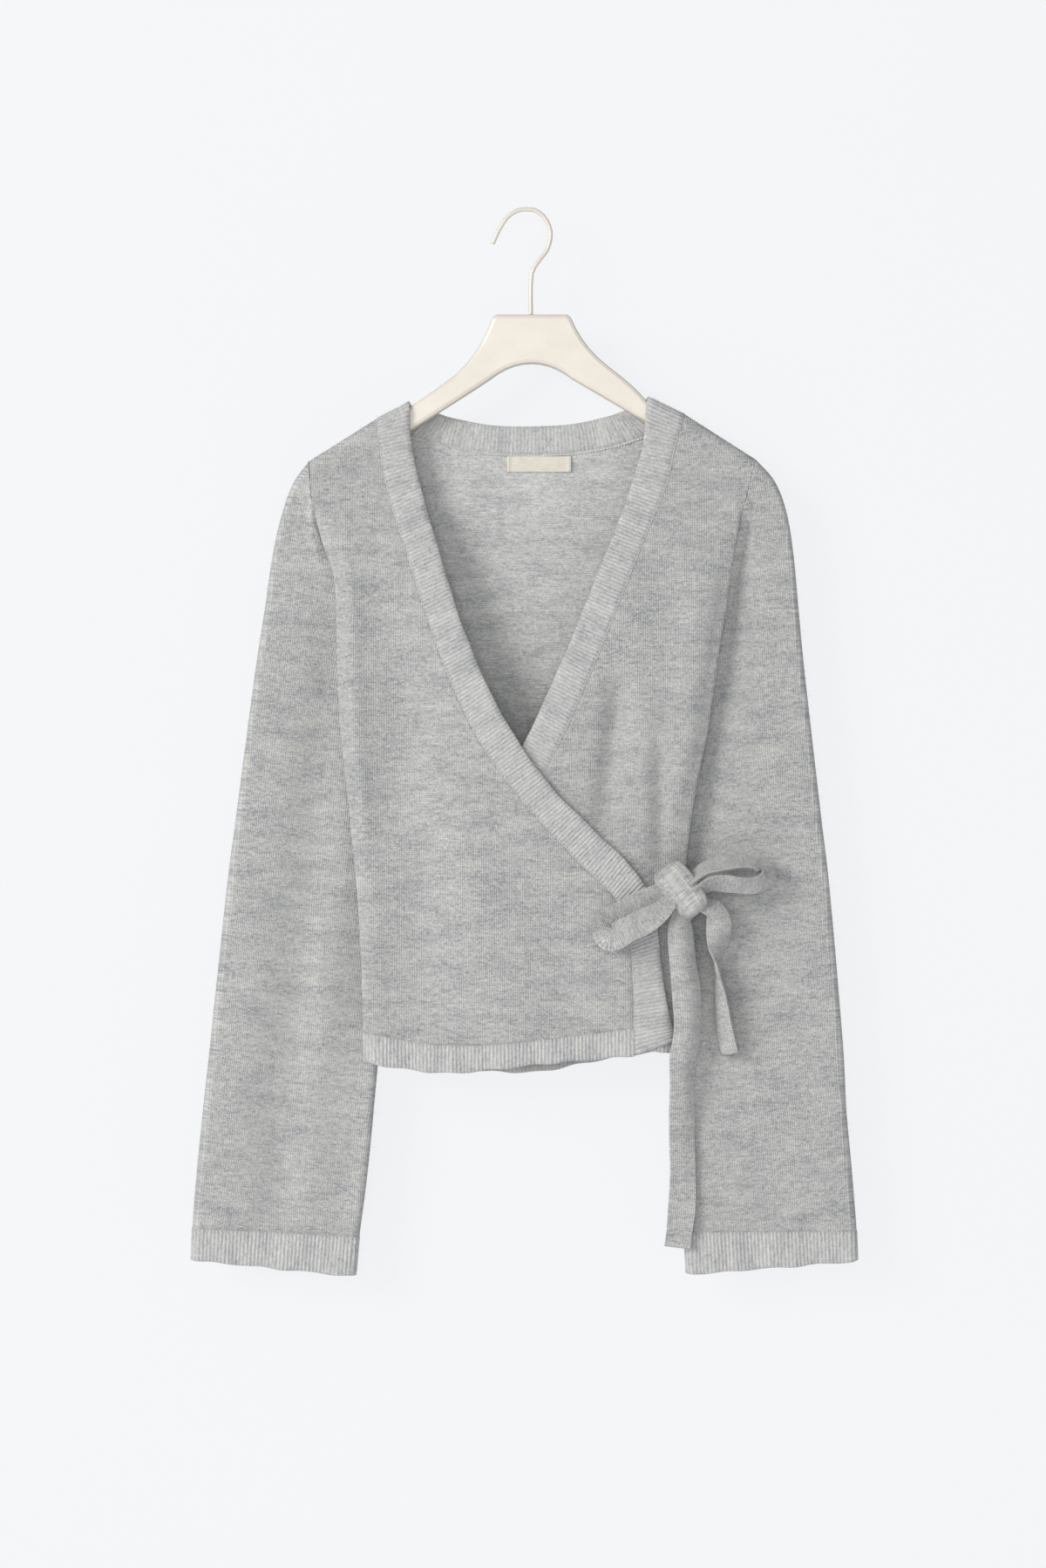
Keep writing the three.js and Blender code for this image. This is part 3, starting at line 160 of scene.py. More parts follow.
class Table:
    """Rows with named columns, read by a key column: smooth between rows and level past the ends."""

    def __init__(self, names, rows):
        self.columns = dict(zip(names.split(), np.array(rows, float).T))
        self.columns["row"] = np.arange(len(rows), dtype=float)

    def __call__(self, key, name, at, sharp=False):
        keys, values = self.columns[key], self.columns[name]
        if keys[-1] < keys[0]:
            keys, values = keys[::-1], values[::-1]
        at = np.clip(at, keys[0], keys[-1])
        i = np.clip(np.searchsorted(keys, at, side="right") - 1, 0, len(keys) - 2)
        span = keys[i + 1] - keys[i]
        t = (at - keys[i]) / span
        a, b = values[i], values[i + 1]
        if sharp:
            return a + t * (b - a)
        low, high = np.maximum(i - 1, 0), np.minimum(i + 2, len(keys) - 1)
        first = (b - values[low]) / (keys[i + 1] - keys[low]) * span
        last = (values[high] - a) / (keys[high] - keys[i]) * span
        return a + t * (first + t * (3 * (b - a) - 2 * first - last + t * (2 * (a - b) + first + last)))

    def first(self, name):
        return self.columns[name][0]

    def last(self, name):
        return self.columns[name][-1]

    def even_rows(self, count):
        return np.linspace(0, self.last("row"), count)

    def at_rows(self, names, rows, sharp=False):
        """Several columns at once, read by the number of the row."""
        return [self("row", name, rows, sharp) for name in names.split()]


# The body by its height: its two sides, how far forward the fronts lie there and how much more in the
# middle, the same backwards for the back, and how much of each side is folded in
BODY = Table("z left right edge crown back_edge back_crown left_tuck right_tuck", [
    (-195, -169.3, 178.6, 8.2, 0, 8.2, 3, 0, 0),
    (-231, -167, 170.6, 9.6, 1, 9.8, 3.4, 0, 0),
    (-246, -164.2, 167.2, 11.6, 2, 12.8, 3.6, 0, 0),
    (-262, -159, 163.8, 13.6, 3, 15, 3.7, 14, 14),
    (-285, -151, 159.8, 14.4, 5, 16, 3.8, 31, 30),
    (-308, -149.2, 156.9, 14.4, 6, 16, 3.8, 48, 46),
    (-340, -148.4, 151.2, 14.4, 7, 16, 3.6, 66, 63),
    (-372, -147.5, 146.9, 14.4, 8, 16, 3.4, 65, 57),
    (-409, -145.2, 141.4, 14.4, 8, 16, 3.2, 60, 50),
    (-444, -141.4, 134, 14.4, 8, 16, 3.2, 53, 39),
    (-490, -136.7, 127.2, 14.4, 8, 16, 3, 44, 28),
    (-530, -132.6, 124, 14.4, 7, 16, 3, 37, 22),
    (-585, -129.2, 124.8, 14.4, 5, 16, 2.6, 29, 18),
    (-641, -127.8, 124.6, 14.4, 3, 16, 2.2, 22, 14),
    (-665, -128.5, 123.4, 14.4, 2, 16, 2, 19, 11),
])
# The line of the shoulders, and the points where its two seams end
SHOULDER = Table("x z", [
    (-172, -198),
    (-170, -196.8),
    (-116.3, -163.1),
    (-91.8, -150.2),
    (0, -60),
    (94.9, -146),
    (123.6, -160.1),
    (178.6, -195.1),
    (181, -196.6),
])
SHOULDER_LEFT = (-170, -196.8)
SHOULDER_RIGHT = (178.6, -195.1)
# The fronts' bands, by the height of their seam: the seam and the free edge
BAND_OUTER = Table("z seam_x free_x free_z", [
    (-163.1, -116.3, -91.8, -150.2),
    (-182, -115.3, -91.2, -177),
    (-225, -107, -83.5, -215),
    (-274, -91.5, -69.5, -264),
    (-341.4, -69.4, -48.2, -331),
    (-407.9, -40.1, -19.7, -394),
    (-461, -2.7, 15.8, -447),
    (-508, 40.5, 58, -490),
    (-531.8, 65.3, 81, -512.5),
    (-548, 75.2, 93.5, -531),
    (-562, 79.4, 99.8, -549),
    (-585, 82, 103.6, -580),
    (-612, 83, 107, -608),
    (-637.8, 83.6, 112, -633),
    (-658.5, 83.8, 116.2, -647.5),
])
BAND_INNER = Table("z seam_x free_x free_z", [
    (-160.1, 123.6, 94.9, -146),
    (-187.5, 115.4, 91.6, -182.4),
    (-212.8, 109.9, 85.4, -205.2),
    (-238.5, 99.5, 77.6, -230),
    (-299.9, 74.8, 53.4, -291),
    (-365.2, 48.3, 27.2, -354.5),
    (-438.6, 12.9, -7.6, -426.4),
    (-489.6, -30, -47.4, -473),
    (-516.8, -54, -71.5, -499),
    (-542, -68.2, -89, -528),
    (-562, -71.4, -95, -553),
    (-585, -72.8, -97.4, -581),
    (-637.8, -74, -99, -636),
    (-656, -74, -99, -655),
])
# The band of the back neck from left to right: its seam and its free edge
NECK = Table("seam_x seam_z free_x free_z", [
    (-116.3, -163.1, -91.8, -150.2),
    (-114.8, -164.8, -90.4, -152.2),
    (-111.5, -167.6, -87.6, -154.6),
    (-105, -170.2, -82.5, -156),
    (-93, -174, -73, -156.6),
    (-62, -181.8, -56.5, -161.6),
    (-22, -188.4, -20.5, -167.5),
    (30, -188.2, 28.5, -166.8),
    (68, -182.4, 61, -160.8),
    (98, -173, 79, -154.8),
    (110, -169.4, 86, -152.4),
    (118.3, -166.2, 91.3, -150),
    (121.8, -162.9, 93.6, -148.2),
    (123.6, -160.1, 94.9, -146),
])
# The hems across the body: their seam and their free edge
HEM_OUTER = Table("x top bottom", [
    (-129, -641.2, -664),
    (-107, -645, -667.2),
    (-80, -650, -671),
    (-55, -651.2, -672),
    (-25, -650.4, -669.2),
    (12, -646.8, -665.2),
    (57, -641.4, -661.3),
    (84, -637.8, -658.5),
])
HEM_INNER = Table("x top bottom", [
    (-74, -637.8, -656),
    (20, -637, -656),
    (124, -635, -656.2),
])
HEM_BACK = Table("x top bottom", [
    (-129, -643, -664),
    (-60, -650, -671),
    (-16, -653, -674.5),
    (14, -652, -673.5),
    (60, -643.5, -664.5),
    (105, -637, -657.8),
    (124, -635, -656.2),
])

# Main folds of the fronts, and the small creases that only show close by
FOLD_NAMES = "x1 z1 x2 z2 width height"
FOLDS = Table(FOLD_NAMES, [
    (-139, -300, -125, -600, 10, 4.4),
    (-112, -290, -96, -400, 18, -3.4),
    (-93, -390, -82, -620, 25, -6.8),
    (-60, -330, -52, -560, 26, 1.4),
    (70, -380, 60, -472, 10, -7.2),
    (104, -420, 104, -508, 8, -3.8),
    (92, -400, 94, -500, 8, 2.4),
    (136, -290, 122, -450, 15, 3.8),
    (38, -641, 78, -630, 9, -1.4),
])
CREASES = Table(FOLD_NAMES, [
    (74, -340, 70, -400, 12, -1.6),
    (80, -300, 74, -390, 16, 1.2),
    (-30, -540, -22, -650, 20, 1.2),
    (28, -560, 34, -650, 12, -1),
    (-96, -240, -88, -330, 18, 0.8),
    (-20, -250, -4, -330, 14, -0.6),
    (8, -520, 22, -630, 16, -0.8),
    (46, -555, 66, -610, 10, -0.7),
    (56, -424, 48, -466, 6, 0.9),
    (112, -440, 109, -500, 5, 1.4),
    (70, -545, 78, -620, 6, 0.6),
])
BACK_CREASES = Table(FOLD_NAMES, [
    (-96, -230, -104, -420, 18, 1.1),
    (88, -240, 98, -400, 20, -1),
    (-40, -330, -52, -560, 24, -1.2),
    (34, -420, 46, -640, 20, 1.3),
    (-88, -470, -80, -640, 15, 1.2),
    (92, -500, 84, -630, 13, -1),
    (-6, -560, 2, -660, 12, -0.9),
    (-30, -205, 40, -212, 10, 0.8),
])
FOLD_SPREAD = {"past": 0.25, "fade": 0.4}
EDGE_ROLL = {"wide": 15, "deep": 3.6}

# The sleeves' outer and inner edges, ring by ring from the shoulder. The last two rings are the cuff's.
SLEEVE_LEFT = Table("outer_x outer_z inner_x inner_z", [
    (-170, -196.8, -85.5, -337),
    (-182, -213.5, -86.5, -352),
    (-190.5, -237, -88.5, -371),
    (-197.5, -268, -91, -397),
    (-204.5, -316, -95, -433),
    (-211.5, -362, -99, -474),
    (-226.2, -473, -107.5, -560),
    (-233.6, -530, -111.8, -606),
    (-246.2, -648, -119.8, -692),
    (-252.2, -703, -123.4, -731),
    (-257, -751, -127.4, -767),
    (-260.6, -795.3, -132, -802.1),
    (-261.6, -819.5, -134.6, -832.5),
])
SLEEVE_RIGHT = Table("outer_x outer_z inner_x inner_z", [
    (178.6, -195.1, 92.5, -337),
    (193, -211.5, 93, -352),
    (202, -234, 94.5, -371),
    (207.6, -266, 96.6, -397),
    (212, -312, 99.6, -433),
    (216.6, -360, 103, -474),
    (229.4, -472, 110.3, -560),
    (236.2, -530, 114.2, -606),
    (246.4, -648, 120.4, -692),
    (249.4, -703, 122, -731),
    (253.8, -752, 123.4, -767),
    (257.4, -797.6, 124.4, -798.2),
    (258.2, -820.5, 126.2, -831),
])
CUFF_ROW = 11

# A sleeve's first rings: how far forward their middle lies, half their depth at both edges, and how
# much of the armhole's shape they keep
SLEEVE_SHAPE = Table("middle outer_half inner_half keep keep_depth", [
    (0, 8.2, 5.5, 1, 1),
    (-0.5, 6.6, 5.4, 0.85, 0.1),
    (-0.8, 6.2, 5.4, 0.5, 0),
    (-1, 6, 5.5, 0.22, 0),
    (-1, 6, 5.5, 0.04, 0),
    (-1, 6, 5.5, 0, 0),
])

# Folds of the sleeves, by the part of the width that they run down at
SLEEVE_FOLD_NAMES = "side across from to width depth"
SLEEVE_FOLDS = [dict(zip(SLEEVE_FOLD_NAMES.split(), row)) for row in [
    (-1, 0.48, -330, -800, 0.15, -5.5),
    (-1, 0.86, -420, -800, 0.14, -4),
    (-1, 0.2, -560, -740, 0.08, 1.2),
    (-1, 0.62, -560, -700, 0.07, 1),
    (-1, 0.5, -250, -330, 0.06, 0.8),
    (1, 0.16, -300, -420, 0.07, -1.8),
    (1, 0.5, -270, -390, 0.16, -6.5),
    (1, 0.7, -390, -500, 0.16, -6.5),
    (1, 0.85, -490, -640, 0.16, -6),
    (1, 0.42, -480, -600, 0.1, -2.4),
    (1, 0.3, -620, -800, 0.09, -2.2),
    (1, 0.62, -560, -760, 0.07, 1.2),
    (1, 0.3, -330, -430, 0.05, 0.8),
]]
SLEEVE_FADE = 80

# The knot along its middle, and the routes of the straps: the lean of their face in degrees, their
# width, and how far their middle bulges
KNOT = Table("x z wide deep", [
    (106.2, -512.6, 18, 5),
    (108.6, -515.2, 25, 10),
    (114, -521.5, 27, 13),
    (120.5, -530, 27.5, 13.8),
    (127.2, -539.2, 26, 13),
    (131.2, -545.2, 23, 10),
    (133.2, -548.2, 15, 5),
])
ROUTE_NAMES = "x forward z face width bend"
LOOP_LEFT = Table(ROUTE_NAMES, [
    (112, 28.8, -527, 10, 13, 0),
    (101, 28.8, -534, 10, 17, 0),
    (87, 28.8, -541, 6, 20, 0),
    (76, 28.8, -547, 0, 20, 0),
    (67, 29.4, -552.5, -6, 20, 0),
    (61.6, 34, -558.5, -4, 20, 0),
    (62.4, 39.5, -565, 2, 20.5, 0),
    (68, 41, -566, 4, 21, 0),
    (77, 40.4, -561, 6, 21, 0),
    (87, 38.6, -556.5, 8, 21, 0),
    (96, 36.6, -551.5, 8, 19, 0),
    (104, 34.4, -546, 10, 16, 0),
    (112, 32, -538, 10, 12, 0),
])
LOOP_RIGHT = Table(ROUTE_NAMES, [
    (124, 29, -525, 66, 15, 0),
    (134, 29, -517, 64, 18, 0),
    (142, 28, -513, 62, 20, 0),
    (154, 27, -510, 62, 21, 0),
    (168, 26, -508.6, 62, 21, 0),
    (177, 26, -509.6, 62, 21, 0),
    (184, 27, -513.4, 62, 21, 0),
    (186.4, 29, -518, 60, 21, 0),
    (184, 31, -522.4, 56, 21, 0),
    (177, 32, -525.6, 52, 21, 0),
    (168, 32, -526.2, 50, 21, 0),
    (155, 31, -524.6, 50, 20, 0),
    (143, 30, -525, 56, 18, 0),
    (130, 29, -532, 66, 15, 0),
])
TAIL_LONG = Table(ROUTE_NAMES, [
    (122, 26, -542, 16, 13, 2),
    (119.8, 26.6, -553, 14, 17, 4),
    (119.6, 27.5, -563, 14, 21, 5),
    (121.5, 28, -585, 16, 22, 5.5),
    (124.5, 27.6, -610, 18, 23, 5.5),
    (125, 26, -640, 20, 23, 5),
    (122, 23, -664, 22, 22, 4),
    (121.4, 17.5, -692, 24, 21.5, 3.5),
    (121.2, 14, -722, 20, 21, 2.5),
    (121.8, 12, -745, 14, 21, 1.5),
    (121.6, 11, -768, 6, 21, 0.5),
    (120, 10.6, -790, 2, 21, 0),
    (117.6, 10.6, -809.5, 0, 21, 0),
])
TAIL_SHORT = Table(ROUTE_NAMES, [
    (128, 25, -541, 40, 12, 1),
    (138, 25, -542.5, 34, 14, 2),
    (145.5, 25, -546, 20, 17, 3),
    (149, 24.5, -553.5, 10, 20, 3),
    (149.4, 23, -563, 16, 21, 3),
    (149, 20, -574, 38, 21, 2),
    (149, 17.5, -586, 74, 21, 0),
    (150, 15.5, -607, 106, 21, 0),
    (151.6, 14.5, -625, 116, 21, -1),
    (154, 13.5, -643, 128, 20, -2),
    (157.6, 13, -658.5, 132, 17, -2),
])
# Creases in the knot: place across, lean along it, width and depth
KNOT_CREASES = [
    (-0.42, 0.3, 0.12, -0.8),
    (0.5, -0.25, 0.15, -0.7),
    (0.05, 0.3, 0.34, 0.35),
]

# Heights down the armhole below the turn over the shoulder, and the number of the underarm's place
ARMHOLE_ROWS = [-216, -231, -246, -262, -285, -308, -330, -340]
TURN_ROWS = 4
UNDERARM = TURN_ROWS + len(ARMHOLE_ROWS)


def smooth(value):
    t = np.clip(value, 0, 1)
    return t * t * (3 - 2 * t)


def lerp(a, b, t):
    return a + (b - a) * t


def unit(vectors):
    return vectors / np.maximum(np.linalg.norm(vectors, axis=-1, keepdims=True), 1e-9)


def circle(count):
    return np.linspace(0, 2 * math.pi, count, endpoint=False)


def squared(value, power):
    """A coordinate of a round outline, drawn out towards a square one."""
    return np.sign(value) * np.abs(value) ** power


def place(x, forward, z):
    """Points from their three coordinates, as an array whose last axis is x, y, z."""
    return np.stack(np.broadcast_arrays(x, -np.asarray(forward, float), z), axis=-1).astype(float)


def arc_length(points):
    steps = np.linalg.norm(np.diff(points, axis=0), axis=1)
    return np.concatenate([[0], np.cumsum(steps)])


def along_line(points, lengths, places):
    """Points read at given places along a line, from those at its known lengths."""
    return np.stack([np.interp(places, lengths, points[:, k]) for k in range(3)], axis=-1)


# Where the cloth lies

def drop(x, z):
    """How far below the shoulder line a spot lies."""
    return np.maximum(SHOULDER("x", "z", x, sharp=True) - z, 0)


def over_arm(down):
    """Half the depth of the cloth over the hanger's round arm, at a drop below its top."""
    k = 1 - np.minimum(down / ARM_ROUND, 1)
    return ARM_ROUND * np.sqrt(1 - k * k)


def across(x, z):
    """Where a spot lies across the body, from -1 at its left side to 1 at its right one."""
    left, right = BODY("z", "left", z), BODY("z", "right", z)
    return np.clip((2 * x - left - right) / (right - left), -1, 1)


def folds(table, x, z):
    total = 0
    for x1, z1, x2, z2, width, height in zip(*(table.columns[name] for name in FOLD_NAMES.split())):
        dx, dz = x2 - x1, z2 - z1
        along = ((x - x1) * dx + (z - z1) * dz) / (dx * dx + dz * dz)
        off = np.hypot(x - x1 - along * dx, z - z1 - along * dz)
        past, fade = FOLD_SPREAD["past"], FOLD_SPREAD["fade"]
        ends = smooth((along + past) / fade) * smooth((1 + past - along) / fade)
        total = total + height * ends * np.exp(-((off / width) ** 2))
    return total


def waves(x, z, phase):
    """The slack of the cloth: low, wide waves with no repeat that shows."""
    total = 0
    for length, angle, height in WAVES:
        turn = 2 * math.pi * (x * math.cos(angle) + z * math.sin(angle)) / length
        total = total + height * np.sin(turn + phase * length)
    return total


def edge_roll(x, z):
    """How far the cloth lies back near a folded side, where it rolls over."""
    inside = np.minimum(x - BODY("z", "left", z), BODY("z", "right", z) - x)
    return EDGE_ROLL["deep"] * (1 - smooth(inside / EDGE_ROLL["wide"])) * folded_at(z)


def inner_depth(x, z):
    down = drop(x, z)
    settled = smooth(down / SETTLE)
    bulge = BODY("z", "crown", z) * (1 - across(x, z) ** 2) + folds(FOLDS, x, z) - edge_roll(x, z)
    loose = folds(CREASES, x, z) + waves(x, z, 0.3)
    return over_arm(down) + settled * (BODY("z", "edge", z) - ARM_ROUND + bulge + loose)


def outer_depth(x, z):
    edge = BAND_INNER("free_z", "free_x", z)
    over = smooth((x - edge + WRAP["before"]) / WRAP["ramp"]) * smooth((WRAP["below"] - z) / WRAP["fade"])
    return inner_depth(x, z) + WRAP["lift"] * over


def back_depth(x, z):
    down = drop(x, z)
    settled = smooth(down / SETTLE)
    bulge = BODY("z", "back_crown", z) * (1 - across(x, z) ** 2)
    loose = folds(BACK_CREASES, x, z) + waves(x, z, 1.7)
    return -over_arm(down) - settled * (BODY("z", "back_edge", z) - ARM_ROUND + bulge + loose)


# Meshes

SURFACES = {}


def grid_normals(grid, around=False):
    """Unit normals of a grid of points, each the mean of the faces that touch it."""
    rows = np.concatenate([grid[:1], grid, grid[-1:]])
    if around:
        rows = np.concatenate([rows[:, -1:], rows, rows[:, :1]], axis=1)
    else:
        rows = np.concatenate([rows[:, :1], rows, rows[:, -1:]], axis=1)
    down = rows[2:, 1:-1] - rows[:-2, 1:-1]
    along = rows[1:-1, 2:] - rows[1:-1, :-2]
    return unit(np.cross(down, along))


def grid_faces(rows, columns, around, start=0):
    """Quads over a grid whose points are numbered row by row from start."""
    index = start + np.arange(rows * columns).reshape(rows, columns)
    if around:
        index = np.concatenate([index, index[:, :1]], axis=1)
    corners = [index[:-1, :-1], index[1:, :-1], index[1:, 1:], index[:-1, 1:]]
    return np.stack(corners, axis=-1).reshape(-1, 4)


def rim_loops(rows, columns, around):
    """The numbers of the points along a grid's edge, in order: one loop, or the two ends of a tube."""
    index = np.arange(rows * columns).reshape(rows, columns)
    if around:
        return [index[0], index[-1]]
    return [np.concatenate([index[0], index[1:, -1], index[-1, -2::-1], index[-2:0:-1, 0]])]


def make_object(name, points, faces, looks, uvs=None, look_of=None):
    """A smooth closed mesh object from points in millimetres, riding on the only body. Faces are arrays
    of quads and triangles."""
    mesh = bpy.data.meshes.new(name)
    corners = np.concatenate([np.asarray(f).ravel() for f in faces])
    totals = np.concatenate([np.full(len(f), np.shape(f)[1]) for f in faces])
    starts = np.concatenate([[0], np.cumsum(totals)[:-1]])
    mesh.vertices.add(len(points))
    mesh.vertices.foreach_set("co", (points * MM).astype(np.float32).ravel())
    mesh.loops.add(len(corners))
    mesh.loops.foreach_set("vertex_index", corners.astype(np.int32))
    mesh.polygons.add(len(totals))
    mesh.polygons.foreach_set("loop_start", starts.astype(np.int32))
    mesh.polygons.foreach_set("loop_total", totals.astype(np.int32))
    if uvs is not None:
        layer = mesh.uv_layers.new(name="cloth")
        layer.data.foreach_set("uv", (uvs[corners] * MM).astype(np.float32).ravel())
    for look in looks:
        mesh.materials.append(look)
    if look_of is not None:
        mesh.polygons.foreach_set("material_index", np.asarray(look_of, np.int32))
    mesh.update(calc_edges=True)
    outward = bmesh.new()
    outward.from_mesh(mesh)
    bmesh.ops.recalc_face_normals(outward, faces=outward.faces)
    outward.to_mesh(mesh)
    outward.free()
    mesh.shade_smooth()
    piece = bpy.data.objects.new("cloth_" + name, mesh)
    bpy.context.scene.collection.objects.link(piece)
    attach(piece, "root")
    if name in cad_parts:
        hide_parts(name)
    return piece


def shell(
    name, grid, uvs, looks, around=False, turned=False, lift=0, inner_lift=0, thickness=WALL,
):
    """A closed wall on both sides of a grid of points, with rounded rims. The looks are those of its
    outside and its inside, and lift and inner_lift raise the two. turned says that the grid runs the
    other way round."""
    rows, columns = grid.shape[:2]
    normals = grid_normals(grid, around) * (-1 if turned else 1)
    half = thickness / 2
    outer = grid + normals * (half + np.asarray(lift))[..., None]
    inner = grid - normals * (half + np.asarray(inner_lift))[..., None]
    count = rows * columns
    flat, flat_normals, flat_uvs = grid.reshape(-1, 3), normals.reshape(-1, 3), uvs.reshape(-1, 2)
    points, uv = [outer.reshape(-1, 3), inner.reshape(-1, 3)], [flat_uvs, flat_uvs]
    faces = [grid_faces(rows, columns, around), grid_faces(rows, columns, around, count)]
    sides = [np.zeros(len(faces[0])), np.full(len(faces[1]), len(looks) - 1)]
    start = 2 * count
    for at in rim_loops(rows, columns, around):
        edge = flat[at]
        forward = np.roll(edge, -1, axis=0) - np.roll(edge, 1, axis=0)
        away = unit(np.cross(forward, flat_normals[at]))
        inside = grid[1 if at[0] == 0 else -2].mean(axis=0) if around else grid.mean(axis=(0, 1))
        if float((away * (edge - inside)).sum()) < 0:
            away = -away
        points.append(edge + away * half * RIM)
        uv.append(flat_uvs[at])
        ring = start + np.arange(len(at))
        for base in (at, at + count):
            strip = np.stack([base, ring, np.roll(ring, -1), np.roll(base, -1)], axis=-1)
            faces.append(strip)
            sides.append(np.zeros(len(strip)))
        start += len(at)
    SURFACES[name] = (outer, normals, around)
    points, uv, sides = (np.concatenate(parts) for parts in (points, uv, sides))
    return make_object(name, points, faces, looks, uv, sides)


def tube(name, grid, uvs):
    """A closed solid of knitted cloth from rings of points, with both ends drawn to a point."""
    rows, columns = grid.shape[:2]
    ends = np.stack([grid[0].mean(axis=0), grid[-1].mean(axis=0)])
    points = np.concatenate([grid.reshape(-1, 3), ends])
    uv = np.concatenate([uvs.reshape(-1, 2), [uvs[0].mean(axis=0), uvs[-1].mean(axis=0)]])
    ring = np.arange(columns)
    fans = [
        np.stack([np.full(columns, rows * columns + k), start + ring, start + np.roll(ring, -1)], axis=-1)
        for k, start in enumerate((0, (rows - 1) * columns))
    ]
    normals = grid_normals(grid, True)
    if float((normals * (grid - grid.mean(axis=1, keepdims=True))).sum()) < 0:
        normals = -normals
    SURFACES[name] = (grid, normals, True)
    faces = [grid_faces(rows, columns, True), np.concatenate(fans)]
    return make_object(name, points, faces, [KNIT_LOOK], uv)


# Panels

def turned_height(top, turn):
    """Height of cloth that turns over the hanger's arm, by the angle of the turn."""
    return top - ARM_ROUND * (1 - np.cos(turn))


def side_heights(top):
    """Heights of a panel's rows at its side: dense where it turns over the hanger's arm, then even."""
    over = turned_height(top, np.linspace(0, math.pi / 2, FINE["turn"]))
    count = int((over[-1] - SIDE_END) / ROW_STEP)
    return np.concatenate([over, np.linspace(over[-1], SIDE_END, count + 1)[1:]])


def folded_at(z):
    """How far a panel's side is folded in at a height, from 0 to 1."""
    return np.clip((FOLD_TOP - z) / (FOLD_TOP - FOLD_FULL), 0, 1)


def sag_at(side):
    """How much of the hem's sag a row takes, from 0 to 1."""
    return smooth((SAG_TOP - side) / (SAG_TOP - SIDE_END))


def shoulder_rise(x, z, top):
    """How much higher than at the shoulder point a row's cloth lies, as long as its side is flat."""
    rise = SHOULDER("x", "z", x, sharp=True) - top
    return rise * (1 - smooth((top - z) / LEVEL_OUT)) * (1 - folded_at(z))


def folded_side(inward, z, depth):
    """A panel's side at one height, from its edge to the front of its fold."""
    name = "left" if inward > 0 else "right"
    edge = float(BODY("z", name, z))
    tuck = float(BODY("z", name + "_tuck", z, sharp=True))
    folded = float(folded_at(z))
    seamed = float(smooth((SEAM_TOP["panel"] - z) / SEAM_TOP["fade"]))
    turn = math.pi * max(folded, 1e-4)
    bent = lerp(FOLD_FLAT, FOLD_BENT, folded) - FOLD_TIGHT * math.sin(turn)
    radius = bent / turn
    tail = FLAT_EDGE * (1 - folded) + folded ** 3 * (tuck - FOLD_IN - FOLD_ROUND)
    start = FOLD_IN * min(2 * folded, 1) + radius * math.sin(min(turn, math.pi / 2))
    start += tail * max(math.cos(turn), 0)
    out = float(depth(edge + inward * start, z))
    facing = math.copysign(1, out)
    angles = np.concatenate([np.full(TAIL_STEPS, turn), np.linspace(turn, 0, ARC_STEPS)])
    straight = np.concatenate([tail * np.linspace(1, 0, TAIL_STEPS + 1)[:-1], np.zeros(ARC_STEPS)])
    a = start - radius * np.sin(angles) - straight * math.cos(turn)
    x = edge + inward * a
    out = lerp(out, depth(np.maximum(x * inward, (edge + inward * start) * inward) * inward, z), folded)
    forward = out - facing * (radius * (1 - np.cos(angles)) + straight * math.sin(turn))
    to_seam = np.clip(1 - np.arange(len(angles)) / 2, 0, 1) * seamed
    forward = lerp(forward, SEAM_DEPTH + facing * SEAM_GAP / 2, to_seam)
    height = z + shoulder_rise(x, z, (SHOULDER_LEFT if inward > 0 else SHOULDER_RIGHT)[1])
    if folded == 0:
        forward = depth(x, height)
    return place(x, forward, height)


def along_uv(points, start):
    """Cloth coordinates of a row: along it from the place that start numbers, and its height."""
    lengths = arc_length(points)
    if points[-1, 0] < points[0, 0]:
        lengths = -lengths
    u = lengths - lengths[start] + points[start, 0]
    return np.stack([u, points[:, 2]], axis=-1)


def front_row(inward, side, top, band, bottom, depth, hem, parts):
    """One row of a front panel, from its side edge to the band's seam."""
    points = folded_side(inward, side, depth)
    last = side <= SIDE_END + 1e-6
    start = points[-1].copy()
    seam_top = band.first("z")
    seam_z = bottom if last else side + (seam_top - top) * (1 - smooth((top - side) / LEVEL_OUT))
    seam_x = band("z", "seam_x", seam_z) - inward * SEAM_GAP / 2
    sag = sag_at(side)
    points[:, 2] += sag * (hem("x", "top", start[0]) - SIDE_END)
    x = lerp(start[0], seam_x, parts)
    level = lerp(SIDE_END, bottom, parts)
    z = lerp(start[2], seam_z, parts) + sag * (hem("x", "top", x) - level)
    return np.concatenate([points, place(x, depth(x, z), z)])


def front_grid(inward, top, band, bottom, depth, hem):
    """A front panel, row by row down from its shoulder seam."""
    parts = np.linspace(0, 1, FINE["front"] + 1)[1:]
    rows = [front_row(inward, z, top, band, bottom, depth, hem, parts) for z in side_heights(top)]
    return np.stack(rows)


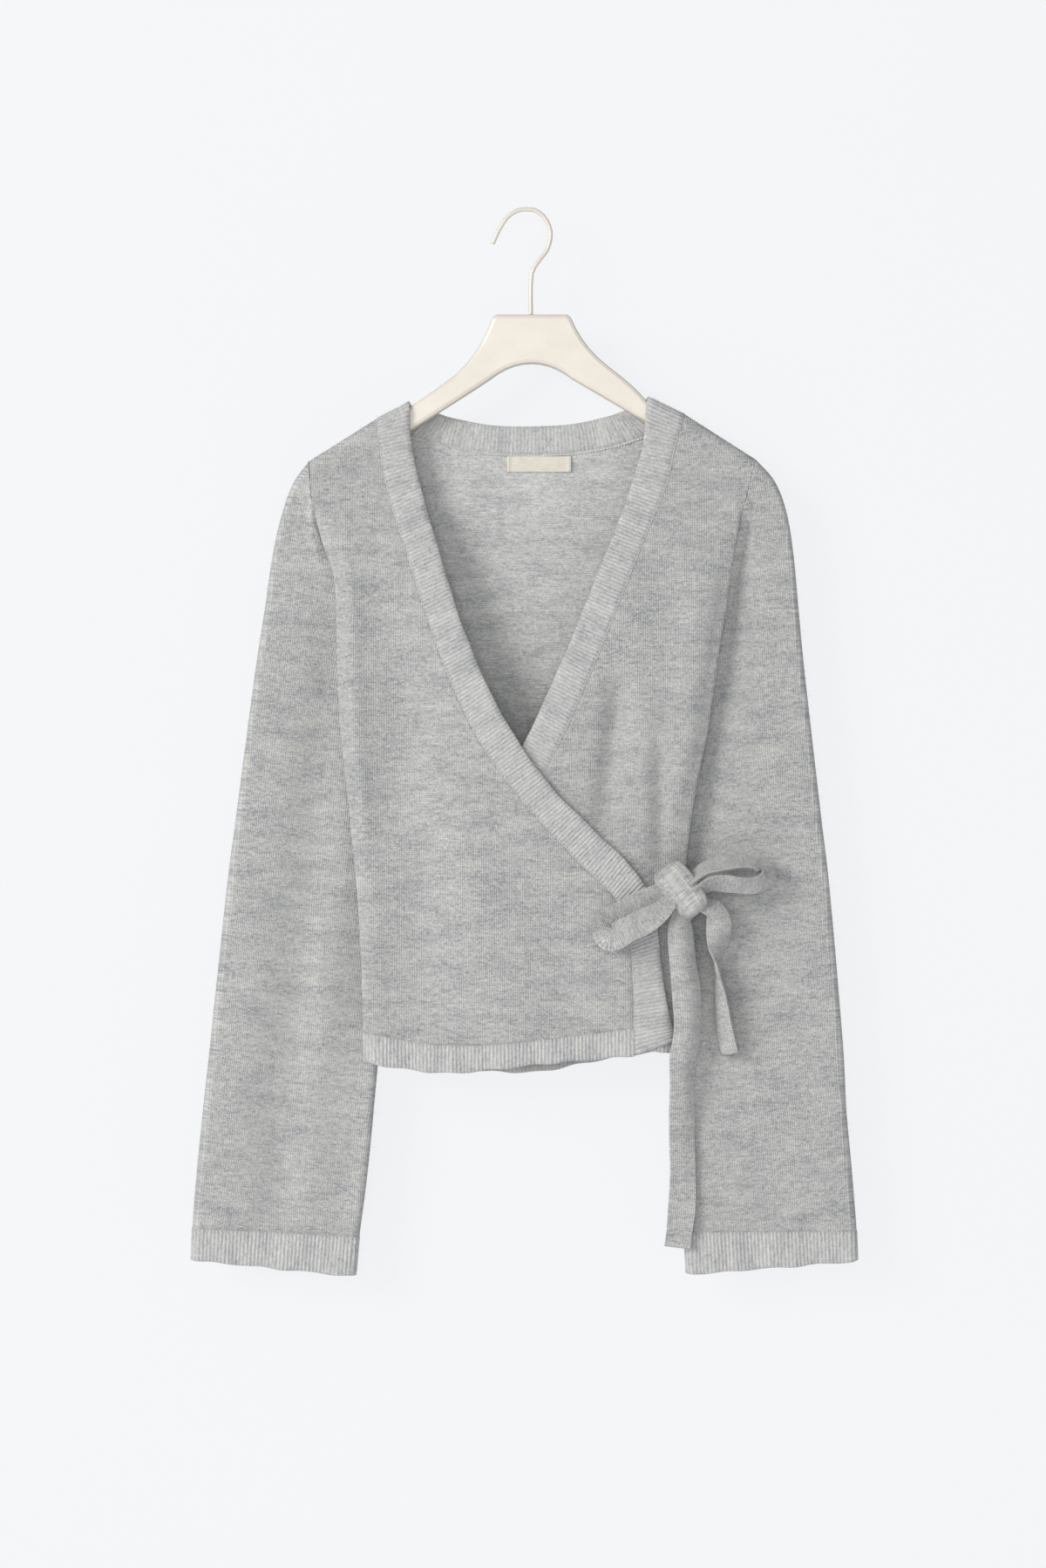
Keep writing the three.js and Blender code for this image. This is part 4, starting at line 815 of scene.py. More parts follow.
def back_row(side, columns, first):
    """One row of the back, from its left side edge to its right one."""
    left = folded_side(1, side[0], back_depth)
    right = folded_side(-1, side[1], back_depth)[::-1]
    tops = np.linspace(0, 1, columns)
    start, finish = SHOULDER_LEFT[0] + FOLD_FLAT + FLAT_EDGE, SHOULDER_RIGHT[0] - FOLD_FLAT - FLAT_EDGE
    top_x = lerp(start, finish, tops)
    low, high = NECK.first("seam_x"), NECK.last("seam_x")
    in_neck = (top_x > low) & (top_x < high)
    top_z = np.where(in_neck, neck_height(np.clip(top_x, low, high)), SHOULDER("x", "z", top_x, sharp=True))
    sag = sag_at(side[0])
    left[:, 2] += sag * (HEM_BACK.first("top") - SIDE_END)
    right[:, 2] += sag * (HEM_BACK.last("top") - SIDE_END)
    if first:
        x, z = top_x, top_z
    else:
        x = lerp(left[-1, 0], right[0, 0], tops)
        shoulder = lerp(SHOULDER_LEFT[1], SHOULDER_RIGHT[1], tops)
        level = lerp(side[0], side[1], tops)
        z = level + (top_z - shoulder) * (1 - smooth((shoulder - level) / LEVEL_OUT))
        z = z + sag * (HEM_BACK("x", "top", x) - SIDE_END)
    middle = place(x, back_depth(x, z), z)
    return np.concatenate([left, middle[1:-1], right])


def neck_height(x):
    """Height of the back's top edge at a place between the shoulders."""
    return np.interp(x, *NECK.at_rows("seam_x seam_z", NECK.even_rows(FINE["neck_height"])))


def back_grid():
    """The back panel, with as many rows down its left side as down its right one."""
    left, right = side_heights(SHOULDER_LEFT[1]), side_heights(SHOULDER_RIGHT[1])
    count = max(len(left), len(right))
    spread = np.linspace(0, 1, count)
    left, right = (np.interp(spread, np.linspace(0, 1, len(side)), side) for side in (left, right))
    return np.stack([back_row(side, FINE["back"], k == 0) for k, side in enumerate(zip(left, right))])


def row_uvs(grid, start):
    return np.stack([along_uv(row, start) for row in grid])


# Ribbed pieces

def rib(distance, phase):
    """Height of a rib at a distance along a band, from 0 in a groove to 1 on a ridge."""
    return (0.5 + 0.5 * np.cos(2 * math.pi * (distance / RIB_PITCH + phase))) ** RIB_ROUND


def resampled(line, edges, step):
    """Edges that go with a line, at even steps along that line, and the distance at each."""
    lengths = arc_length(line)
    count = max(8, int(round(lengths[-1] / step)))
    even = np.linspace(0, lengths[-1], count + 1)
    return [along_line(points, lengths, even) for points in edges], even


def ribbed_grid(edge_a, edge_b, depth, steps):
    """A band's wall and its cloth coordinates, from two matching edges. Where a depth is given, the
    band lies at that depth between them."""
    (a, b), distance = resampled((edge_a + edge_b) / 2, [edge_a, edge_b], RIB_PITCH / RIB_STEPS)
    t = np.linspace(0, 1, steps + 1)[None, :, None]
    grid = a[:, None] * (1 - t) + b[:, None] * t
    if depth is not None:
        grid[:, 1:-1, 1] = -depth(grid[:, 1:-1, 0], grid[:, 1:-1, 2])
    wide = np.linalg.norm(b - a, axis=1)[:, None] * t[..., 0]
    uvs = np.stack([np.broadcast_to(distance[:, None], wide.shape), wide], axis=-1)
    return grid, uvs, distance


def ribbed_piece(name, edge_a, edge_b, depth=None, around=False, steps=FINE["band_across"], turned=False):
    """A band between two edges, whose ribs rise on its outside and, between them, on its inside."""
    grid, uvs, distance = ribbed_grid(edge_a, edge_b, depth, steps)
    rises = [RIB_RISE * rib(distance, phase)[:, None] for phase in (0, 0.5)]
    lift, inner = (np.repeat(rise, steps + 1, axis=1) for rise in rises)
    if around:
        grid, uvs = grid[:-1].transpose(1, 0, 2), uvs[:-1].transpose(1, 0, 2)
        lift, inner = lift[:-1].T, inner[:-1].T
    return shell(name, grid, uvs, [RIB_LOOK], around, turned, lift, inner)


def band_edges(band, inward, depth, bottom):
    """The seam and the free edge of a front band, densely."""
    over = turned_height(band.first("z"), np.linspace(0, math.pi / 2, FINE["band_turn"]))
    z = np.concatenate([over, np.linspace(over[-1], bottom, FINE["band"])[1:]])
    seam_x = band("z", "seam_x", z) + inward * SEAM_GAP / 2
    free_x, free_z = band("z", "free_x", z), band("z", "free_z", z)
    return place(seam_x, depth(seam_x, z), z), place(free_x, depth(free_x, free_z), free_z)


def curled(points, edge, phase):
    """Edge points moved a little in and out, as a knitted edge rolls."""
    amount, length = CURLS[edge]
    turn = 2 * math.pi * arc_length(points)
    finer = np.sin(turn / (CURL_SHAPE["finer"] * length))
    raised = np.sin(turn / (CURL_SHAPE["raised_length"] * length) + 2 * phase)
    moved = points.copy()
    moved[:, 1] -= amount * (np.sin(turn / length + phase) + CURL_SHAPE["finer_height"] * finer)
    moved[:, 2] += CURL_SHAPE["raised"] * amount * raised
    return moved


def hem_piece(name, row, hem, phase, turned=False):
    """A ribbed hem below a panel's last row."""
    top = row.copy()
    top[:, 2] -= SEAM_GAP
    bottom = row.copy()
    bottom[:, 2] = hem("x", "bottom", row[:, 0])
    return ribbed_piece(name, top, curled(bottom, "hem", phase), turned=turned)


# Sleeves

def side_height(row, top):
    """Height of the panel's side that a place round the armhole is sewn to."""
    over = turned_height(top, np.minimum(row, TURN_ROWS) / TURN_ROWS * math.pi / 2)
    places = [TURN_ROWS] + [TURN_ROWS + 1 + k for k in range(len(ARMHOLE_ROWS))]
    return np.where(row <= TURN_ROWS, over, np.interp(row, places, [top - ARM_ROUND] + ARMHOLE_ROWS))


def armhole_half(rows, inward, top, depth, facing):
    """Where the sleeve's first ring lies: just outside the panel's edge, and behind it where the side
    is folded in."""
    spots = []
    for z in side_height(rows, top):
        edge = folded_side(inward, z, depth)[0]
        folded = float(folded_at(edge[2]))
        seamed = float(smooth((SEAM_TOP["sleeve"] - edge[2]) / SEAM_TOP["fade"]))
        aside = lerp(ARMHOLE["flat"], ARMHOLE["folded"], folded)
        behind = ARMHOLE["behind"] * math.sin(math.pi / 2 * min(ARMHOLE["early"] * folded, 1))
        forward = lerp(-edge[1] - facing * behind, SEAM_DEPTH, seamed)
        spots.append((edge[0] - inward * aside, -forward, edge[2] + ARMHOLE["drop"] * seamed))
    return np.array(spots)


def sleeve_fold(side, part, z):
    """How far a sleeve's folds move the cloth at a part of its width and at a height."""
    total = 0
    for fold in (f for f in SLEEVE_FOLDS if f["side"] == side):
        along = smooth((fold["from"] + SLEEVE_FADE / 2 - z) / SLEEVE_FADE)
        along = along * smooth((z - fold["to"] + SLEEVE_FADE / 2) / SLEEVE_FADE)
        total = total + fold["depth"] * along * np.exp(-(((part - fold["across"]) / fold["width"]) ** 2))
    return total


def sleeve_half(table, row, rows, side, facing):
    """Half a ring of a sleeve without its armhole's own shape, from its outer edge to its inner one."""
    outer = np.array(table.at_rows("outer_x outer_z", row))
    inner = np.array(table.at_rows("inner_x inner_z", row))
    middle, outer_half, inner_half = SLEEVE_SHAPE.at_rows("middle outer_half inner_half", row, sharp=True)
    width = np.linalg.norm(inner - outer)
    near = np.minimum(rows, TURN_ROWS) / TURN_ROWS * math.pi / 2
    far = np.minimum(UNDERARM - rows, TURN_ROWS) / TURN_ROWS * math.pi / 2
    flat = np.clip((rows - TURN_ROWS) / (UNDERARM - 2 * TURN_ROWS), 0, 1)
    from_outer = lerp(outer_half, width - inner_half, flat)
    from_outer = np.where(rows < TURN_ROWS, outer_half * (1 - np.cos(near)), from_outer)
    from_outer = np.where(rows > UNDERARM - TURN_ROWS, width - inner_half * (1 - np.cos(far)), from_outer)
    high = np.sin(np.minimum(near, far))
    thick = lerp(outer_half, inner_half, flat)
    spot = outer + (inner - outer) * (from_outer / width)[:, None]
    trough = sleeve_fold(side, from_outer / width, spot[:, 1]) * high
    loose = 0.5 * waves(spot[:, 0], spot[:, 1], side + facing) * high * min(row / 4, 1)
    return place(spot[:, 0], middle + facing * (thick * high + loose) + trough, spot[:, 1])


def sleeve_ring(table, row, rows, side):
    front = sleeve_half(table, row, rows, side, 1)
    rear = sleeve_half(table, row, rows, side, -1)
    return np.concatenate([front, rear[-2:0:-1]])


def sleeve_grid(table, side, top, depth):
    """A sleeve's rings from the armhole to the cuff's seam. The armhole's own shape fades out on the
    way."""
    rows = np.linspace(0, UNDERARM, FINE["sleeve_around"] // 2 + 1)
    front = armhole_half(rows, -side, top, depth, 1)
    rear = armhole_half(rows, -side, top, back_depth, -1)
    first = np.concatenate([front, rear[-2:0:-1]])
    first[0, 1] = 0
    away = first - sleeve_ring(table, 0.0, rows, side)
    faded = SLEEVE_SHAPE.last("row")
    upper = np.linspace(0, faded, FINE["sleeve_top"])
    lower = np.linspace(faded, CUFF_ROW, FINE["sleeve_down"] - FINE["sleeve_top"])[1:]
    rings = []
    for row in np.concatenate([upper, lower]):
        keep, keep_depth = SLEEVE_SHAPE.at_rows("keep keep_depth", row, sharp=True)
        rings.append(sleeve_ring(table, row, rows, side) + away * np.array([keep, keep_depth, keep]))
    return np.stack(rings)


def sleeve_uvs(grid, side):
    """Cloth coordinates of a sleeve: across it, also where it turns from front to back, and down it."""
    top, end = grid[0].mean(axis=0), grid[-1].mean(axis=0)
    down = (end - top) / np.linalg.norm(end - top)
    wide = np.array([-down[2], 0, down[0]])
    return np.stack([side * (grid @ wide) - grid[..., 1], -(grid @ down)], axis=-1)


def cuff_piece(name, table, side):
    """A ribbed cuff below a sleeve's last ring."""
    rows = np.linspace(0, UNDERARM, FINE["cuff"])
    top = sleeve_ring(table, float(CUFF_ROW), rows, side)
    bottom = sleeve_ring(table, float(CUFF_ROW + 1), rows, 0)
    top += (bottom - top) * (SEAM_GAP / np.linalg.norm(bottom - top, axis=1, keepdims=True))
    bottom = curled(bottom, "cuff", side)
    closed = [np.concatenate([ring, ring[:1]]) for ring in (top, bottom)]
    return ribbed_piece(name, *closed, around=True, steps=FINE["cuff_across"], turned=side > 0)


# The bow

def strap(name, route):
    """A flat knitted strap along a route, whose long edges roll forwards a little."""
    rows = route.even_rows(FINE["strap"])
    line = place(*route.at_rows("x forward z", rows))
    along = unit(np.gradient(line, axis=0))
    side = unit(np.cross(along, FORWARD))
    face = np.radians(route("row", "face", rows, sharp=True))[:, None]
    aside = side * np.cos(face) + np.cross(side, along) * np.sin(face)
    up = np.cross(aside, along)
    angle = circle(FINE["strap_around"])
    wide = 0.5 * squared(np.cos(angle), STRAP["square"])
    thick = 0.5 * STRAP["thick"] * squared(np.sin(angle), STRAP["square"])
    bend = route("row", "bend", rows)[:, None] * (0.5 - np.abs(2 * wide) ** STRAP["bend_power"])
    curl = STRAP["curl"] * (np.abs(2 * wide) ** STRAP["curl_power"] - STRAP["curl_low"])
    distance = arc_length(line)
    width = route("row", "width", rows) * (1 + STRAP["uneven"] * np.sin(distance / STRAP["uneven_over"] + 1))
    twist = np.sin(distance / STRAP["twist_over"])[:, None] * wide
    grid = line[:, None] + aside[:, None] * (wide * width[:, None])[..., None]
    grid = grid + up[:, None] * (thick + curl + bend + twist)[..., None]
    over = arc_length(np.stack([wide * STRAP["width"], thick, thick * 0], axis=-1))
    uvs = np.stack(np.broadcast_arrays(over[None, :], distance[:, None]), axis=-1)
    return tube(name, grid, uvs)


def knot():
    """A short length of the tie pulled tight round the others, with the creases of its wrap."""
    rows = KNOT.even_rows(FINE["knot"])
    x, z, wide, deep = (column[:, None] for column in KNOT.at_rows("x z wide deep", rows))
    axis = np.array([x[-1, 0] - x[0, 0], z[-1, 0] - z[0, 0]])
    length = np.linalg.norm(axis)
    axis /= length
    angle = circle(FINE["knot_around"])[None, :]
    part = np.linspace(0, 1, len(rows))[:, None]
    crease = sum(
        depth * np.exp(-(((np.cos(angle) - middle - lean * (part - 0.5)) / width) ** 2))
        for middle, lean, width, depth in KNOT_CREASES
    )
    ends = smooth(np.minimum(part, 1 - part) * KNOT_SHAPE["ends"])
    aside = wide / 2 * squared(np.cos(angle), KNOT_SHAPE["square"])
    deep = (deep / 2 + crease * ends) * squared(np.sin(angle), KNOT_SHAPE["square"])
    grid = place(x - axis[1] * aside, KNOT_SHAPE["forward"] + deep, z + axis[0] * aside)
    uvs = np.stack(np.broadcast_arrays(angle * KNOT_SHAPE["around"], part * length), axis=-1)
    return tube("tie_knot", grid, uvs)


def band_root():
    """Where one tie leaves the outer band's corner, and rises to the knot."""
    lies = float(outer_depth(97, -537)) + ROOT_LIFT["band"]
    return Table(ROUTE_NAMES, [
        (97.4, lies, -537.5, 0, 15, 0),
        (99.4, lies + 0.2, -536.5, 0, 17, 0),
        (103, 23.2, -534.5, 0, 15, 0),
        (107, 23.6, -532.5, 0, 13, 0),
        (113, 24.2, -531, 0, 11, 0),
    ])


def side_root():
    """The end of the other tie, on the inner front behind the knot."""
    lies = float(inner_depth(114, -533)) + WALL / 2 + STACK_GAP + STRAP["thick"] / 2 + ROOT_LIFT["side"]
    return Table(ROUTE_NAMES, [
        (108, lies, -532, 0, 19, 0),
        (114, lies, -533, 0, 19, 0),
        (120, lies - 0.2, -534, 0, 19, 0),
    ])


# Stitches

def repeated(faces, count, points):
    """The faces of one small form, for a number of them that have the same number of points."""
    starts = (np.arange(count) * points)[:, None, None]
    return [(part + starts).reshape(-1, part.shape[1]) for part in faces]


def beads(name, spots, ways, size):
    """Small rounded stitches at given spots, each laid along its own way. size is half of its length and
    its thickness."""
    side = unit(np.cross(ways, FORWARD))
    out = np.cross(side, ways)
    rings = []
    for along, thick in BEAD_RINGS:
        turn = circle(BEAD_SIDES)[:BEAD_SIDES if thick else 1]
        spread = side[:, None] * np.cos(turn)[:, None] + out[:, None] * np.sin(turn)[:, None]
        rings.append(spots[:, None] + ways[:, None] * along * size[0] + spread * thick * size[1])
    points = np.concatenate(rings, axis=1)
    ring = np.arange(BEAD_SIDES)
    follow = np.roll(ring, -1)
    first, second, tip = 1, 1 + BEAD_SIDES, 1 + 2 * BEAD_SIDES
    quads = np.stack([first + ring, second + ring, second + follow, first + follow], axis=-1)
    fans = np.concatenate([
        np.stack([ring * 0, first + ring, first + follow], axis=-1),
        np.stack([ring * 0 + tip, second + follow, second + ring], axis=-1),
    ])
    faces = repeated((quads, fans), len(spots), points.shape[1])
    return make_object(name, points.reshape(-1, 3), faces, [STITCH_LOOK])


def stitch_line(name, line, kind):
    """A row of stitches along a line, raised forwards from the cloth and leaning off the line."""
    row = STITCHES[kind]
    lengths = arc_length(line)
    spots = along_line(line, lengths, np.arange(row["pitch"] / 2, lengths[-1], row["pitch"]))
    along = unit(np.gradient(spots, axis=0))
    leaning = unit(along + row["lean"] * np.cross(FORWARD, along))
    return beads(name, spots + FORWARD * row["lift"], leaning, row["size"])


# Fuzz

def fibre_roots(surfaces, count, random):
    """Where fibres start, spread evenly over some surfaces, and the way out of the cloth there."""
    areas, grids = [], []
    for grid, normals, around in surfaces:
        if around:
            grid, normals = (np.concatenate([a, a[:, :1]], axis=1) for a in (grid, normals))
        down, along = np.diff(grid, axis=0)[:, :-1], np.diff(grid, axis=1)[:-1]
        areas.append(np.linalg.norm(np.cross(down, along), axis=2))
        grids.append((grid, normals))
    shares = np.array([a.sum() for a in areas])
    roots, outs = [], []
    for (grid, normals), area, share in zip(grids, areas, shares / shares.sum()):
        cell = random.choice(area.size, int(count * share), p=area.ravel() / area.sum())
        i, j = np.unravel_index(cell, area.shape)
        s, t = random.random((2, len(cell), 1))
        for found, a in ((roots, grid), (outs, normals)):
            near, far = lerp(a[i, j], a[i + 1, j], s), lerp(a[i, j + 1], a[i + 1, j + 1], s)
            found.append(lerp(near, far, t))
    return np.concatenate(roots), unit(np.concatenate(outs))


def fuzz(name, surfaces, count, length, seed):
    """Loose fibre ends that stand off the yarn: thin bent spikes, the same on every run."""
    random = np.random.default_rng(SEED + seed)
    roots, outs = fibre_roots(surfaces, count, random)
    lean = random.normal(size=(2, len(roots), 3))
    reach = length * (FIBRE["shortest"] + random.random((len(roots), 1)) ** 2)
    first = outs * FIBRE["rise"] + lean[0] * FIBRE["lean"]
    second = outs * FIBRE["tip_rise"] + lean[1] * FIBRE["tip_lean"]
    bend = roots + first * reach * 0.5
    tip = bend + second * reach * 0.5
    side = unit(np.cross(first, second))
    other = unit(np.cross(side, first))
    points = []
    for middle, wide in ((roots - outs * FIBRE["buried"], 1), (bend, FIBRE["narrower"])):
        for turn in circle(3):
            away = side * math.cos(turn) + other * math.sin(turn)
            points.append(middle + away * (FIBRE["radius"] * wide))
    points = np.stack([*points, tip], axis=1)
    quads = np.array([(0, 1, 4, 3), (1, 2, 5, 4), (2, 0, 3, 5)])
    triangles = np.array([(3, 4, 6), (4, 5, 6), (5, 3, 6), (0, 2, 1)])
    faces = repeated((quads, triangles), len(roots), points.shape[1])
    return make_object(name, points.reshape(-1, 3), faces, [FIBRE_LOOK])


# Looks

def linear(red, green, blue):
    """A colour given as it looks on a screen, as the light that it sends back."""
    part = [v / 255 for v in (red, green, blue)]
    return (*(v / 12.92 if v <= 0.04045 else ((v + 0.055) / 1.055) ** 2.4 for v in part), 1)


class Nodes:
    """A material's node tree and the few ways in which its nodes are made and joined here."""

    def __init__(self, name):
        self.material = bpy.data.materials.new(name)
        self.material.use_nodes = True
        self.tree = self.material.node_tree
        self.shader = self.tree.nodes["Principled BSDF"]
        self.output = self.tree.nodes["Material Output"]

    def make(self, kind, values, out=0, **settings):
        made = self.tree.nodes.new(kind)
        for key, value in settings.items():
            setattr(made, key, value)
        for key, value in values.items():
            self.join(value, made.inputs[key])
        return made.outputs[out]

    def join(self, value, socket):
        if isinstance(value, bpy.types.NodeSocket):
            self.tree.links.new(value, socket)
        else:
            socket.default_value = value

    def maths(self, operation, *values):
        return self.make("ShaderNodeMath", dict(enumerate(values)), operation=operation)

    def cloth(self):
        """The two cloth coordinates, in metres, and both together."""
        uv = self.make("ShaderNodeUVMap", {}, uv_map="cloth")
        split = self.tree.nodes.new("ShaderNodeSeparateXYZ")
        self.join(uv, split.inputs[0])
        return uv, split.outputs["X"], split.outputs["Y"]

    def spot(self):
        """The place on the object, in metres."""
        return self.make("ShaderNodeTexCoord", {}, out="Object")

    def noise(self, vector, x, y, detail=2.0, roughness=0.55, z=1.0):
        """Noise that changes about once in each x and y, in metres."""
        scaled = self.make("ShaderNodeMapping", {"Vector": vector, "Scale": (1 / x, 1 / y, 1 / z)})
        values = {"Vector": scaled, "Scale": 1.0, "Detail": detail, "Roughness": roughness}
        return self.make("ShaderNodeTexNoise", values)

    def even_noise(self, vector, size, **settings):
        return self.noise(vector, size, size, z=size, **settings)

    def scaled(self, value, by, plus):
        return self.maths("MULTIPLY_ADD", value, by, plus)

    def wave(self, value, pitch):
        """A smooth wave from 0 to 1 along a value in metres."""
        turn = self.maths("MULTIPLY", value, 2 * math.pi / pitch)
        return self.scaled(self.maths("COSINE", turn), 0.5, 0.5)

    def blend(self, factor, a, b, mode="MIX"):
        mixed = self.tree.nodes.new("ShaderNodeMix")
        mixed.data_type = "RGBA"
        mixed.blend_type = mode
        for value, socket in ((factor, mixed.inputs[0]), (a, mixed.inputs[6]), (b, mixed.inputs[7])):
            self.join(value, socket)
        return mixed.outputs[2]

    def ramp(self, value, *stops):
        made = self.tree.nodes.new("ShaderNodeValToRGB")
        self.join(value, made.inputs[0])
        elements = made.color_ramp.elements
        while len(elements) < len(stops):
            elements.new(0.5)
        for element, (position, colour) in zip(elements, stops):
            element.position = position
            element.color = colour
        return made.outputs[0]

    def two_tone(self, value, low, high, colours):
        first, second = (linear(*colour) for colour in colours)
        return self.ramp(value, (low, first), (high, second))

    def shaded(self, colour, shade):
        """A colour made darker where shade is under 1."""
        return self.blend(1.0, colour, self.ramp(shade, (0, BLACK), (1, WHITE)), "MULTIPLY")

    def bump(self, height, distance, strength=1.0, normal=None):
        values = {"Height": height, "Distance": distance, "Strength": strength}
        if normal is not None:
            values["Normal"] = normal
        return self.make("ShaderNodeBump", values)

    def surface(self, **values):
        for key, value in values.items():
            self.join(value, self.shader.inputs[key.replace("_", " ")])
        return self.material


def melange(nodes, uv, greys):
    """The yarn's mixed greys: long soft flecks along the courses, and finer ones in them."""
    light, middle, dark = (linear(*grey) for grey in greys)
    flecks = nodes.noise(uv, 0.0066, 0.0024, detail=3, roughness=0.65)
    fine = nodes.noise(uv, 0.0024, 0.0016, roughness=0.7)
    broad = nodes.noise(uv, 0.036, 0.011, detail=3)
    mixed = nodes.scaled(fine, 0.54, nodes.scaled(flecks, 0.48, -0.01))
    mixed = nodes.scaled(broad, 0.34, nodes.maths("SUBTRACT", mixed, 0.17))
    return nodes.ramp(mixed, (0.36, dark), (0.5, middle), (0.64, light))


def yarn_surface(nodes, colour, height, distance, soft, softness):
    """The dull surface that all the cloth shares. soft is the slack between stitches."""
    normal = nodes.bump(height, distance, 0.8, nodes.bump(soft, softness))
    return nodes.surface(
        Base_Color=colour, Normal=normal, Roughness=0.93, Specular_IOR_Level=0.18,
        Sheen_Weight=0.22, Sheen_Roughness=0.6, Sheen_Tint=(0.93, 0.94, 0.96, 1),
    )


def knit_look(name, inside):
    """Stockinette: on its face columns of small Vs, and on its inside rows of small bars, with painted shade
    between stitches.
    """
    nodes = Nodes(name)
    uv, u, v = nodes.cloth()
    width, high = STITCH["width"] * MM, STITCH["height"] * MM
    wale = nodes.maths("PINGPONG", nodes.maths("DIVIDE", u, width), 0.5)
    legs = nodes.wave(nodes.scaled(wale, 0.0 if inside else high, v), high)
    height = nodes.scaled(nodes.wave(u, width), 0.25 if inside else 0.8, nodes.maths("MULTIPLY", legs, 0.7))
    # The inside is painted lighter: painted light where it lies in shade
    painted_light = INSIDE_PAINTED_LIGHT if inside else 0
    greys = [[part + painted_light for part in grey] for grey in COLOURS["knit"]]
    # Darker where the stitches sink: painted shade between them
    colour = nodes.shaded(melange(nodes, uv, greys), nodes.scaled(height, 0.3, 0.72))
    return yarn_surface(nodes, colour, height, 0.0006, nodes.noise(uv, 0.004, 0.0026), 0.0006)


def rib_look():
    """One by one rib: the grooves between its ridges are painted darker as painted shade, and its stitches
    show across it.
    """
    nodes = Nodes("rib")
    uv, u, v = nodes.cloth()
    ridge = nodes.wave(u, RIB_PITCH * MM)
    slanted = nodes.scaled(nodes.maths("PINGPONG", u, RIB_PITCH * MM / 4), 1.6, v)
    stitches = nodes.wave(slanted, 0.0011)
    # Painted shade: darker in the grooves between the ridges and between the stitches
    shade = nodes.scaled(ridge, 0.19, nodes.scaled(stitches, 0.12, 0.74))
    quarter = {"Vector": uv, "Angle": math.pi / 2}
    turned = nodes.make("ShaderNodeVectorRotate", quarter, rotation_type="Z_AXIS")
    colour = nodes.shaded(melange(nodes, turned, COLOURS["rib"]), shade)
    height = nodes.scaled(stitches, 0.5, ridge)
    return yarn_surface(nodes, colour, height, 0.0003, nodes.noise(uv, 0.003, 0.003), 0.0005)


def stitch_look():
    """The yarn of the linking stitches, a little uneven in its grey."""
    nodes = Nodes("linking_yarn")
    spot = nodes.spot()
    colour = nodes.two_tone(nodes.even_noise(spot, 0.004), 0.3, 0.7, COLOURS["linking"])
    return yarn_surface(nodes, colour, nodes.even_noise(spot, 0.0006), 0.0002, 0.5, 0.0002)


def fibre_look():
    """Single fibres, paler than the yarn."""
    nodes = Nodes("loose_fibres")
    colour = nodes.two_tone(nodes.even_noise(nodes.spot(), 0.01), 0.35, 0.65, COLOURS["fibres"])
    return nodes.surface(Base_Color=colour, Roughness=0.7, Sheen_Weight=0.3)


def woven_look():
    """Plain woven tape: fine ribs across, crossed by its threads, with painted shade between the threads."""
    nodes = Nodes("woven_tape")
    uv, u, v = nodes.cloth()
    weave = nodes.scaled(nodes.wave(u, 0.0006), 0.5, nodes.wave(v, 0.0004))
    colour = nodes.two_tone(nodes.noise(uv, 0.006, 0.001, detail=3), 0.35, 0.65, COLOURS["tape"])
    # Painted shade: a little darker between the threads
    colour = nodes.shaded(colour, nodes.scaled(weave, 0.06, 0.91))
    return nodes.surface(
        Base_Color=colour, Normal=nodes.bump(weave, 0.00012), Roughness=0.62,
        Specular_IOR_Level=0.35, Sheen_Weight=0.1,
    )


def paint_look():
    """Satin cream paint with the faint orange peel of a sprayed coat, a little darker in small specks."""
    nodes = Nodes("cream_paint")
    spot = nodes.spot()
    broad = nodes.noise(spot, 0.05, 0.05, z=0.03, detail=3)
    colour = nodes.two_tone(broad, 0.35, 0.65, COLOURS["paint"])
    specks = nodes.even_noise(spot, 0.0022, detail=4, roughness=0.7)
    faint = nodes.ramp(specks, (0.66, BLACK), (0.74, (0.35, 0.35, 0.35, 1)))
    colour = nodes.blend(faint, colour, linear(*COLOURS["worn_paint"]))
    peel = nodes.bump(nodes.even_noise(spot, 0.0016), 0.00012, 0.6)
    rough = nodes.scaled(broad, 0.2, 0.32)
    return nodes.surface(Base_Color=colour, Normal=peel, Roughness=rough, Coat_Weight=0.12)


def stage_look(name):
    """A pale matt surface that glows a little, so that shadows on it stay light. It is only there on its
    front, and hides nothing from behind."""
    nodes = Nodes(name)
    shaded, spots, glow = ROOM_LOOK["shaded"], ROOM_LOOK["spots"], ROOM_LOOK["glow"]
    pale, deep = ((*[part] * 3, 1) for part in (shaded, ROOM_LOOK["mottled"] * shaded))
    nodes.surface(
        Base_Color=nodes.blend(nodes.even_noise(nodes.spot(), spots), pale, deep), Roughness=0.9,
        Specular_IOR_Level=0.1, Emission_Color=glow, Emission_Strength=1.0,
    )
    clear = nodes.make("ShaderNodeBsdfTransparent", {})
    behind = nodes.make("ShaderNodeNewGeometry", {}, out="Backfacing")
    shown = nodes.make("ShaderNodeMixShader", {0: behind, 1: nodes.shader.outputs[0], 2: clear})
    nodes.join(shown, nodes.output.inputs["Surface"])
    return nodes.material


# The pieces

